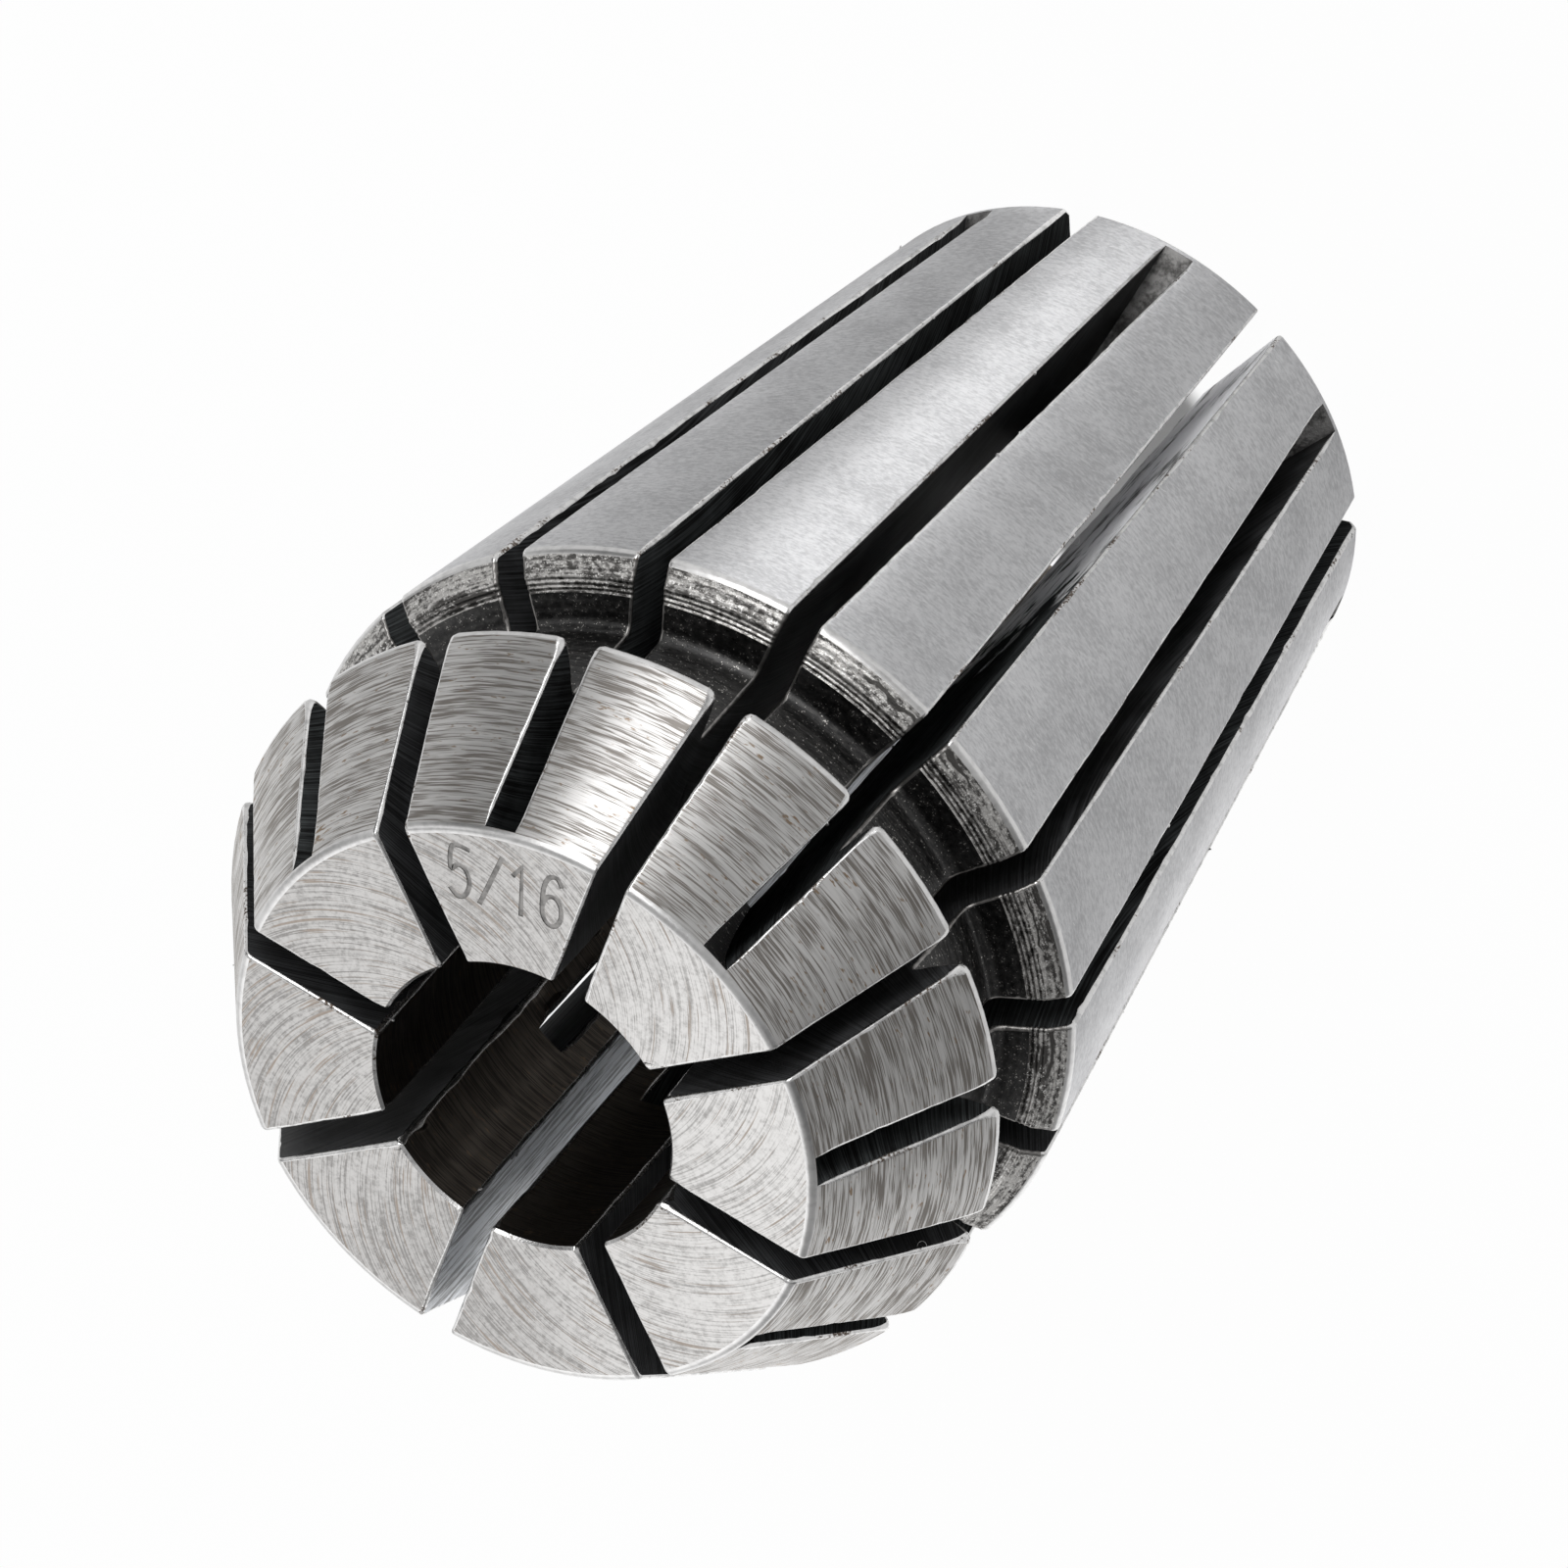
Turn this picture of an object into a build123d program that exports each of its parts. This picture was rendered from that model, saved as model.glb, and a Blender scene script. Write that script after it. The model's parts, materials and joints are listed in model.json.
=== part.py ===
from build123d import *

import math
import os

# A spring collet for a clamping chuck, turned from one bar of spring steel and sawn from both ends.
# Millimetres. The axis is Z, the small end stands on Z = 0 and the nose face is on top.

# Whole collet, as wide as both of its cones at their big ends
overall_length = 31.5
bore_diameter = 7.9375
cone_diameter = 21.0

# Long cone that seats in the chuck
body_half_angle = 8.0

# Short cone that the nut presses on, from its big end to the nose face
collar_length = 4.8
nose_half_angle = 30.0

# Groove that the nut's ring hooks into when it pulls the collet out
groove_diameter = 17.4
groove_floor_width = 2.9
groove_floor_radius = 0.3
groove_wall_lean = 15.0
shoulder_break_height = 0.55
shoulder_break_lean = 35.0

# Edges left by the turning tool
bore_mouth_break = 0.07
nose_face_edge_radius = 0.15
collar_edge_break = 0.12
body_edge_radius = 0.1
tail_edge_break = 0.2

# Saw slots, as many from the nose as from the tail, each run out by the round of the saw
slots_per_end = 8
slot_width = 0.8
saw_diameter = 40.0
saw_rim_to_axis = 2.6
nose_web = 0.14
tail_web = 0.35

# How far a saw blank stands out past the metal that it cuts
saw_overrun = 1.0

# Radii and heights that follow from the sizes above
bore_radius = bore_diameter / 2
cone_radius = cone_diameter / 2
groove_radius = groove_diameter / 2
body_slope = math.tan(math.radians(body_half_angle))
nose_slope = math.tan(math.radians(nose_half_angle))
shoulder_break_base = cone_radius - shoulder_break_height
collar_back = overall_length - collar_length
groove_floor_end = collar_back - groove_floor_width
wall_rise = (shoulder_break_base - groove_radius) * math.tan(math.radians(groove_wall_lean))
break_rise = shoulder_break_height * math.tan(math.radians(shoulder_break_lean))
shoulder_break_start = groove_floor_end - wall_rise
body_top = shoulder_break_start - break_rise
nose_face_radius = cone_radius - collar_length * nose_slope
tail_face_radius = cone_radius - body_top * body_slope


def turned_blank():
    """The solid of revolution before sawing, with its bore, groove and edges."""
    corners = [
        (bore_radius + bore_mouth_break, 0),
        (tail_face_radius - tail_edge_break, 0),
        (tail_face_radius + tail_edge_break * body_slope, tail_edge_break),
        (cone_radius, body_top),
        (shoulder_break_base, shoulder_break_start),
        (groove_radius, groove_floor_end),
        (groove_radius, collar_back),
        (cone_radius - collar_edge_break, collar_back),
        (cone_radius - collar_edge_break * nose_slope, collar_back + collar_edge_break),
        (nose_face_radius, overall_length),
        (bore_radius + bore_mouth_break, overall_length),
        (bore_radius, overall_length - bore_mouth_break),
        (bore_radius, bore_mouth_break),
    ]
    corner_radii = [0] * len(corners)
    corner_radii[corners.index((cone_radius, body_top))] = body_edge_radius
    corner_radii[corners.index((groove_radius, groove_floor_end))] = groove_floor_radius
    corner_radii[corners.index((nose_face_radius, overall_length))] = nose_face_edge_radius
    outline = FilletPolyline(*corners, radius=corner_radii, close=True)
    return revolve(Plane.XZ * make_face(outline), Axis.Z)


def saw_blank(end_radius, end_height):
    """What one pass of the saw takes, open below, with its closed end at a radius and height on the outside."""
    saw_radius = saw_diameter / 2
    saw_axis_radius = saw_rim_to_axis + saw_radius
    outer_radius = cone_radius + saw_overrun
    saw_axis_height = end_height - math.sqrt(saw_radius**2 - (saw_axis_radius - end_radius) ** 2)
    run_out_angle = math.degrees(math.acos((saw_axis_radius - outer_radius) / saw_radius))
    rim = CenterArc((saw_axis_radius, saw_axis_height), saw_radius, 180, -run_out_angle)
    rest = Polyline(
        rim @ 1,
        (outer_radius, -saw_overrun),
        (saw_rim_to_axis, -saw_overrun),
        rim @ 0,
    )
    side = Plane.XZ * make_face([rim, rest])
    return extrude(side, amount=slot_width / 2, both=True)


def slots_round_the_axis(blank, first_angle):
    """Copies of one saw blank, evenly spaced from a first angle."""
    pitch = 360 / slots_per_end
    return [Rot(Z=first_angle + pitch * step) * blank for step in range(slots_per_end)]


def nose_slots():
    """Slots sawn from the nose face, which stop short of the tail face."""
    blank = saw_blank(tail_face_radius + tail_web * body_slope, overall_length - tail_web)
    upside_down = Pos(Z=overall_length) * mirror(blank, about=Plane.XY)
    return slots_round_the_axis(upside_down, 0)


def tail_slots():
    """Slots sawn from the tail face, half a pitch on, which stop short of the nose face."""
    blank = saw_blank(nose_face_radius + nose_web * nose_slope, overall_length - nose_web)
    return slots_round_the_axis(blank, 180 / slots_per_end)


collet = turned_blank() - nose_slots() - tail_slots()

os.makedirs("parts", exist_ok=True)
export_step(collet, "parts/collet.step")
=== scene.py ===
"""Dresses a packed spring collet and sets it in a plain studio.

The collet is one piece, turned from bar and sawn from both ends. A finer mesh of the same form stands in for
the plain solid: half a petal is built from the turned section, and geometry nodes mirror it, repeat it round
the axis, weld it, wear its edges, give each surface its finish and strew the saw's burrs. Sizes are
millimetres unless a name says otherwise.
"""

import json
import logging
import math
import random
from collections.abc import Callable
from dataclasses import dataclass, field
from enum import IntEnum

import bmesh
import bpy
from mathutils import Matrix, Vector


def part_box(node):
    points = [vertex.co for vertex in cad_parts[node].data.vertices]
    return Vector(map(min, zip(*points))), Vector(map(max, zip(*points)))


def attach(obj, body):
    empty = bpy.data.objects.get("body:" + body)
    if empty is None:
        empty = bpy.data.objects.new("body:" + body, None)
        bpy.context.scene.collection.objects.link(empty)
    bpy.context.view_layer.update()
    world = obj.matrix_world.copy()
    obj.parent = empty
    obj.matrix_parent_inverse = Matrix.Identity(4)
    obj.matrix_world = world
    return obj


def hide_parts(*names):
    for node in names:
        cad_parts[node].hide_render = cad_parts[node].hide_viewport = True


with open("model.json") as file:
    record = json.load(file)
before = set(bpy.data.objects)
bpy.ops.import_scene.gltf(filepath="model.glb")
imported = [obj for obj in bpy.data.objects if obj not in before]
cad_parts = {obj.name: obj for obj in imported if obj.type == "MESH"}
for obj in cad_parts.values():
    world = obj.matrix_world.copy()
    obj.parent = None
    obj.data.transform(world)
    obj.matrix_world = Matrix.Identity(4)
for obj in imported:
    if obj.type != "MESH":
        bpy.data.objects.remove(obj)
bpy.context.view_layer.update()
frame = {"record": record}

log = logging.getLogger("collet")

MM = 0.001
NODE = "collet"
BODY = "root"
WATTS_PER_BRIGHTNESS = 4.0

Colour = tuple[float, float, float]


class Surface(IntEnum):
    """The surfaces of the collet that differ in finish, as numbers that the mesh's faces carry."""

    TAIL_FACE = 0
    LONG_CONE = 1
    SHOULDER = 2
    GROOVE = 3
    NOSE_CONE = 4
    NOSE_FACE = 5
    BORE = 6
    NOSE_SAW_WALL = 7
    TAIL_SAW_WALL = 8
    EDGE = 9
    SAW_ROUND = 10
    NUMBER = 11
    DULL_EDGE = 12
    TURNED_EDGE = 13


class Side(IntEnum):
    """The two slots that a half petal lies between."""

    NOSE_SLOT = 1
    TAIL_SLOT = -1


class Value:
    """A number in a node tree. Python's operators on it add Math nodes."""

    def __init__(self, graph: "Graph", socket: bpy.types.NodeSocket) -> None:
        """Wraps one output socket of a graph."""
        self.graph = graph
        self.socket = socket

    def __add__(self, other: "Value | float") -> "Value":
        """The sum."""
        return self.graph.math("ADD", self, other)

    __radd__ = __add__

    def __sub__(self, other: "Value | float") -> "Value":
        """The difference."""
        return self.graph.math("SUBTRACT", self, other)

    def __rsub__(self, other: float) -> "Value":
        """The difference from a plain number."""
        return self.graph.math("SUBTRACT", other, self)

    def __mul__(self, other: "Value | float") -> "Value":
        """The product."""
        return self.graph.math("MULTIPLY", self, other)

    __rmul__ = __mul__

    def __truediv__(self, other: "Value | float") -> "Value":
        """The quotient."""
        return self.graph.math("DIVIDE", self, other)

    def __rtruediv__(self, other: float) -> "Value":
        """A plain number over the value."""
        return self.graph.math("DIVIDE", other, self)


class Graph:
    """A node tree, shader or geometry, with short ways to add and join nodes."""

    def __init__(self, tree: bpy.types.NodeTree) -> None:
        """Takes the tree that the nodes go into."""
        self.tree = tree

    def feed(self, socket: bpy.types.NodeSocket, value: object) -> None:
        """Joins a value or an output socket to an input socket, or sets the input to a constant.

        Args:
            socket: The input.
            value: A Value, an output socket or a constant.
        """
        if isinstance(value, Value):
            value = value.socket
        if isinstance(value, bpy.types.NodeSocket):
            self.tree.links.new(value, socket)
        else:
            socket.default_value = value

    def node(self, kind: str, settings: dict | None = None, values: dict | None = None) -> bpy.types.Node:
        """Adds one node.

        Args:
            kind: The node's type.
            settings: Its properties, set first. The key stops holds a ramp's places and colours.
            values: Its inputs, by name or number.

        Returns:
            The node.
        """
        made = self.tree.nodes.new(kind)
        for name, setting in (settings or {}).items():
            if name == "stops":
                self._set_stops(made.color_ramp, setting)
            else:
                setattr(made, name, setting)
        for name, value in (values or {}).items():
            self.feed(made.inputs[name], value)
        return made

    @staticmethod
    def _set_stops(ramp: bpy.types.ColorRamp, stops: list[tuple[float, tuple]]) -> None:
        """Gives a ramp its stops.

        Args:
            ramp: The ramp, which starts with two stops.
            stops: The place and the colour, with alpha, of each stop.
        """
        while len(ramp.elements) < len(stops):
            ramp.elements.new(1.0)
        for element, (place, colour) in zip(ramp.elements, stops):
            element.position = place
            element.color = colour

    def math(self, operation: str, *numbers: "Value | float") -> Value:
        """A Math node's result."""
        made = self.node("ShaderNodeMath", {"operation": operation}, dict(enumerate(numbers)))
        return Value(self, made.outputs[0])

    def vector(self, operation: str, *terms: object) -> bpy.types.NodeSocket:
        """A Vector Math node's vector, from vectors or triples."""
        made = self.node("ShaderNodeVectorMath", {"operation": operation}, dict(enumerate(terms)))
        return made.outputs["Vector"]

    def scaled(self, vector: object, factor: "Value | float") -> bpy.types.NodeSocket:
        """A vector times a number."""
        made = self.node("ShaderNodeVectorMath", {"operation": "SCALE"}, {0: vector, "Scale": factor})
        return made.outputs["Vector"]

    def length(self, vector: object) -> Value:
        """The length of a vector."""
        made = self.node("ShaderNodeVectorMath", {"operation": "LENGTH"}, {0: vector})
        return Value(self, made.outputs["Value"])

    def dot(self, vector: object, along: tuple[float, float, float]) -> Value:
        """How far a vector goes along a direction."""
        made = self.node("ShaderNodeVectorMath", {"operation": "DOT_PRODUCT"}, {0: vector, 1: along})
        return Value(self, made.outputs["Value"])

    def combine(self, *numbers: "Value | float") -> bpy.types.NodeSocket:
        """A vector from its three numbers."""
        return self.node("ShaderNodeCombineXYZ", None, dict(enumerate(numbers))).outputs[0]

    def split(self, vector: object) -> list[Value]:
        """The three numbers of a vector."""
        made = self.node("ShaderNodeSeparateXYZ", None, {0: vector})
        return [Value(self, socket) for socket in made.outputs]

    def noise(self, vector: object, scale: float, detail: float = 2.0, roughness: float = 0.5) -> Value:
        """Noise from 0 to 1 at a place."""
        values = {"Vector": vector, "Scale": scale, "Detail": detail, "Roughness": roughness}
        return Value(self, self.node("ShaderNodeTexNoise", None, values).outputs[0])

    def step(self, value: Value, low: float, high: float) -> Value:
        """A soft step from 0 at the low value to 1 at the high one."""
        ends = {"Value": value, "From Min": low, "From Max": high}
        made = self.node("ShaderNodeMapRange", {"interpolation_type": "SMOOTHSTEP"}, ends)
        return Value(self, made.outputs[0])

    def in_surface(self, surface: Surface) -> bpy.types.NodeSocket:
        """Whether a face belongs to a surface, by the number that it carries."""
        carried = self.node("GeometryNodeInputNamedAttribute", {"data_type": "INT"}, {"Name": "surface"})
        settings = {"data_type": "INT", "operation": "EQUAL"}
        return self.node("FunctionNodeCompare", settings, {2: carried.outputs[0], 3: int(surface)}).outputs[0]


def linked(name: str, data: bpy.types.ID) -> bpy.types.Object:
    """A new object of the scene, made of a mesh, a lamp or a camera."""
    made = bpy.data.objects.new(name, data)
    bpy.context.scene.collection.objects.link(made)
    return made


def emptied(owner: bpy.types.Material | bpy.types.World) -> Graph:
    """The node tree of a material or a world, with nothing in it."""
    owner.use_nodes = True
    owner.node_tree.nodes.clear()
    return Graph(owner.node_tree)


def grown(
    host: bpy.types.Object, name: str, inputs: dict[str, tuple[str, float]],
    fill: Callable[[Graph, object], bpy.types.NodeSocket],
) -> bpy.types.Object:
    """Runs a geometry node tree on an object and keeps what comes out as a plain mesh.

    Args:
        host: The object that the tree runs on, which is used up.
        name: The name of the tree and of the new object.
        inputs: The socket type and the value of each of the tree's inputs.
        fill: Adds the nodes, from the graph and the group's inputs, and returns what they end in.

    Returns:
        The new object, with no modifier.
    """
    tree = bpy.data.node_groups.new(name, "GeometryNodeTree")
    ends = tree.interface
    ends.new_socket("Geometry", in_out="OUTPUT", socket_type="NodeSocketGeometry")
    ends.new_socket("Geometry", in_out="INPUT", socket_type="NodeSocketGeometry")
    keys = {}
    for label, (kind, _) in inputs.items():
        keys[label] = ends.new_socket(label, in_out="INPUT", socket_type=kind).identifier
    graph = Graph(tree)
    graph.node("NodeGroupOutput", None, {0: fill(graph, graph.node("NodeGroupInput").outputs)})
    modifier = host.modifiers.new(name, "NODES")
    modifier.node_group = tree
    for label, (_, value) in inputs.items():
        modifier[keys[label]] = value
    data = bpy.data.meshes.new_from_object(host.evaluated_get(bpy.context.evaluated_depsgraph_get()))
    bpy.data.objects.remove(host)
    data.name = name
    return linked(name, data)


@dataclass(frozen=True)
class ColletSizes:
    """The collet's sizes, the same as in its solid."""

    length: float
    bore_radius: float
    body_top: float
    collar_back: float
    cone_radius: float = 10.5
    body_half_angle: float = 8.0
    nose_half_angle: float = 30.0
    groove_radius: float = 8.7
    groove_floor_width: float = 2.9
    shoulder_radius: float = 9.95
    shoulder_lean: float = 35.0
    ridges_radius: float = 9.55
    mouth_break: float = 0.07
    tail_break: float = 0.2
    slots_per_end: int = 8
    slot_width: float = 0.8
    saw_radius: float = 20.0
    saw_rim_to_axis: float = 2.6
    nose_web: float = 0.14
    tail_web: float = 0.35

    @classmethod
    def from_frame(cls) -> "ColletSizes":
        """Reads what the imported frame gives.

        Returns:
            The sizes, with the length, the bore and the heights at which the two cones are widest.
        """
        low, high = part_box(NODE)
        mounts = {mount["name"]: mount for mount in frame["record"]["mounts"]}
        return cls(
            length=(high.z - low.z) / MM,
            bore_radius=mounts["bore"]["dims"]["r_mm"],
            body_top=mounts["body_taper"]["pos_m"][2] / MM,
            collar_back=mounts["nose_taper"]["pos_m"][2] / MM,
        )

    @property
    def body_slope(self) -> float:
        """How much the long cone's radius grows with height."""
        return math.tan(math.radians(self.body_half_angle))

    @property
    def nose_slope(self) -> float:
        """How much the nose cone's radius shrinks with height."""
        return math.tan(math.radians(self.nose_half_angle))

    @property
    def tail_radius(self) -> float:
        """Radius of the long cone at the small end."""
        return self.cone_radius - self.body_top * self.body_slope

    @property
    def nose_face_radius(self) -> float:
        """Radius of the nose cone at the nose face."""
        return self.cone_radius - (self.length - self.collar_back) * self.nose_slope

    @property
    def half_pitch(self) -> float:
        """Angle from a nose slot to the next tail slot, in radians."""
        return math.pi / self.slots_per_end


@dataclass(frozen=True)
class SawCut:
    """One ring of slots in a plane through the axis: the saw's round and the side that it cut from."""

    saw_radius: float
    rim_to_axis: float
    end_radius: float
    end_height: float
    from_nose: bool

    @property
    def centre_height(self) -> float:
        """Height of the saw's centre."""
        rise = self._sagitta(self.end_radius)
        return self.end_height + rise if self.from_nose else self.end_height - rise

    def _sagitta(self, radius: float) -> float:
        """Height of the saw's rim over its centre, at a radius of the collet."""
        return math.sqrt(self.saw_radius**2 - (self.rim_to_axis + self.saw_radius - radius) ** 2)

    def rim_height(self, radius: float) -> float:
        """Height at which the cut ends, at a radius of the collet."""
        drop = self._sagitta(radius)
        return self.centre_height - drop if self.from_nose else self.centre_height + drop

    def depth(self, radius: float, height: float) -> float:
        """How far inside the cut a point lies, along the axis. It is negative in the web that is left."""
        gap = height - self.rim_height(radius)
        return gap if self.from_nose else -gap


@dataclass
class Station:
    """A point of the turned section, the outward normal there and the surface that starts at it."""

    radius: float
    height: float
    surface: Surface
    normal: tuple[float, float] = (0.0, 0.0)
    travel: float = 0.0


@dataclass(frozen=True)
class Corner:
    """A corner of the turned section: how round it is, and the straight that leaves it."""

    radius: float
    height: float
    rounding: float
    surface: Surface
    row_gap: float
    ridge_pitch: float = 0.0
    ridge_depth: float = 0.0
    round_surface: Surface = Surface.TURNED_EDGE


@dataclass
class Section:
    """The collet's turned section as a closed line of stations, up the outside and down the bore."""

    sizes: ColletSizes
    support_gap: float = 0.05
    arc_steps: int = 4
    ridge_seed: int = 5
    ridge_share: tuple[float, float] = (0.4, 1.0)
    halvings: int = 40
    stations: list[Station] = field(default_factory=list)

    def __post_init__(self) -> None:
        """Lays out the stations, then puts one at each place where a slot ends."""
        self._lay_out(self._corners())
        self.cuts = {Side.NOSE_SLOT: self._nose_cut(), Side.TAIL_SLOT: self._tail_cut()}
        for cut in self.cuts.values():
            self._add_ends_of(cut)
        self._add_normals()

    def _corners(self) -> list[Corner]:
        """Places the corners of the turned section.

        Returns:
            The corners in order, from the bore's edge at the small end.
        """
        s = self.sizes
        rough, groove = Surface.SHOULDER, Surface.GROOVE
        break_rise = (s.cone_radius - s.shoulder_radius) * math.tan(math.radians(s.shoulder_lean))
        shoulder_start = s.body_top + break_rise
        floor_end = s.collar_back - s.groove_floor_width
        mouth = s.bore_radius + s.mouth_break
        wall_slope = (floor_end - shoulder_start) / (s.shoulder_radius - s.groove_radius)
        ridges_end = shoulder_start + (s.shoulder_radius - s.ridges_radius) * wall_slope
        return [
            Corner(mouth, 0, 0, Surface.TAIL_FACE, 0.5),
            Corner(s.tail_radius - s.tail_break, 0, 0.06, Surface.TURNED_EDGE, 0.1),
            Corner(s.tail_radius + s.tail_break * s.body_slope, s.tail_break, 0.06, Surface.LONG_CONE, 0.3),
            Corner(s.cone_radius, s.body_top, 0.24, rough, 0.027, 0.2, 0.014),
            Corner(s.shoulder_radius, shoulder_start, 0.2, rough, 0.025, 0.13, 0.035, rough),
            Corner(s.ridges_radius, ridges_end, 0, groove, 0.06, 0.24, 0.008),
            Corner(s.groove_radius, floor_end, 0.3, groove, 0.06, 0.3, 0.008, groove),
            Corner(s.groove_radius, s.collar_back, 0.1, groove, 0.25, 0.0, 0.0, groove),
            Corner(s.cone_radius, s.collar_back, 0.18, Surface.NOSE_CONE, 0.25),
            Corner(s.nose_face_radius, s.length, 0.26, Surface.NOSE_FACE, 0.3),
            Corner(mouth, s.length, 0, Surface.EDGE, 0.1),
            Corner(s.bore_radius, s.length - s.mouth_break, 0, Surface.BORE, 0.3),
            Corner(s.bore_radius, s.mouth_break, 0, Surface.EDGE, 0.1),
        ]

    def _nose_cut(self) -> SawCut:
        """The slots sawn from the nose, which leave a web at the small end."""
        s = self.sizes
        end_radius = s.tail_radius + s.tail_web * s.body_slope
        return SawCut(s.saw_radius, s.saw_rim_to_axis, end_radius, s.tail_web, True)

    def _tail_cut(self) -> SawCut:
        """The slots sawn from the small end, which leave a web at the nose."""
        s = self.sizes
        end_radius = s.nose_face_radius + s.nose_web * s.nose_slope
        return SawCut(s.saw_radius, s.saw_rim_to_axis, end_radius, s.length - s.nose_web, False)

    def _lay_out(self, corners: list[Corner]) -> None:
        """Joins the rounded corners by straights, with closer stations beside each round.

        Args:
            corners: The corners in order.
        """
        rng = random.Random(self.ridge_seed)
        arcs = []
        for index, corner in enumerate(corners):
            before, after = corners[index - 1], corners[(index + 1) % len(corners)]
            arcs.append(self._arc(before, corner, after))
        for index, corner in enumerate(corners):
            for point in arcs[index][:-1]:
                self.stations.append(Station(point.x, point.y, corner.round_surface))
            start, end = arcs[index][-1], arcs[(index + 1) % len(corners)][0]
            self._add_straight(corner, start, end, rng)

    def _arc(self, before: Corner, corner: Corner, after: Corner) -> list[Vector]:
        """Rounds one corner.

        Args:
            before: The corner before it.
            corner: The corner to round.
            after: The corner after it.

        Returns:
            The points of its arc, or the corner alone where it is sharp.
        """
        here = Vector((corner.radius, corner.height))
        if not corner.rounding:
            return [here]
        back = (Vector((before.radius, before.height)) - here).normalized()
        ahead = (Vector((after.radius, after.height)) - here).normalized()
        half = back.angle(ahead) / 2
        centre = here + (back + ahead).normalized() * (corner.rounding / math.sin(half))
        reach = corner.rounding / math.tan(half)
        first, last = here + back * reach - centre, here + ahead * reach - centre
        sweep = math.pi - 2 * half
        if first.x * last.y - first.y * last.x < 0:
            sweep = -sweep
        turns = [Matrix.Rotation(sweep * step / self.arc_steps, 2) for step in range(self.arc_steps + 1)]
        return [centre + turn @ first for turn in turns]

    def _add_straight(self, corner: Corner, start: Vector, end: Vector, rng: random.Random) -> None:
        """Adds the stations of one straight, its end left out, with its turned ridges if it has any.

        Args:
            corner: The corner that the straight leaves.
            start: Where the straight starts.
            end: Where it ends.
            rng: Draws the heights of the ridges.
        """
        span = (end - start).length
        count = max(1, round(span / corner.row_gap))
        places = [span * step / count for step in range(count)]
        if span > 4 * self.support_gap and not corner.ridge_depth:
            places += [self.support_gap, span - self.support_gap]
        along = (end - start).normalized()
        inward = Vector((-along.y, along.x))
        heights = [rng.uniform(*self.ridge_share) for _ in range(count)]
        for place in sorted(places):
            sink = 0.0
            if corner.ridge_depth:
                ridge = place / corner.ridge_pitch
                swing = 0.5 - 0.5 * math.cos(2 * math.pi * ridge)
                sink = corner.ridge_depth * heights[int(ridge)] * swing
            point = start + along * place + inward * sink
            self.stations.append(Station(point.x, point.y, corner.surface))

    def _add_ends_of(self, cut: SawCut) -> None:
        """Puts a station at each of the two places where the section passes from a cut into its web.

        Args:
            cut: The cut.
        """
        ring = []
        for index, here in enumerate(self.stations):
            ahead = self.stations[(index + 1) % len(self.stations)]
            ring.append(here)
            first, last = cut.depth(here.radius, here.height), cut.depth(ahead.radius, ahead.height)
            if first * last < 0:
                share = self._root(cut, here, ahead)
                radius = here.radius + share * (ahead.radius - here.radius)
                height = here.height + share * (ahead.height - here.height)
                ring.append(Station(radius, height, here.surface))
        self.stations = ring

    def _root(self, cut: SawCut, here: Station, ahead: Station) -> float:
        """Finds where a cut ends between two stations, by halving.

        Args:
            cut: The cut.
            here: The first station.
            ahead: The second.

        Returns:
            The share of the way from the first to the second.
        """
        low, high = 0.0, 1.0
        rising = cut.depth(here.radius, here.height) < 0
        for _ in range(self.halvings):
            middle = (low + high) / 2
            radius = here.radius + middle * (ahead.radius - here.radius)
            height = here.height + middle * (ahead.height - here.height)
            if (cut.depth(radius, height) < 0) == rising:
                low = middle
            else:
                high = middle
        return low

    def _add_normals(self) -> None:
        """Gives each station its mitred outward normal and its travel along the section."""
        travel = 0.0
        count = len(self.stations)
        for index, here in enumerate(self.stations):
            before, after = self.stations[index - 1], self.stations[(index + 1) % count]
            arriving = Vector((here.height - before.height, before.radius - here.radius))
            leaving = Vector((after.height - here.height, here.radius - after.radius))
            here.travel = travel
            travel += leaving.length
            arriving.normalize()
            leaving.normalize()
            mitre = (arriving + leaving) / (1 + arriving.dot(leaving))
            here.normal = (mitre.x, mitre.y)


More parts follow.
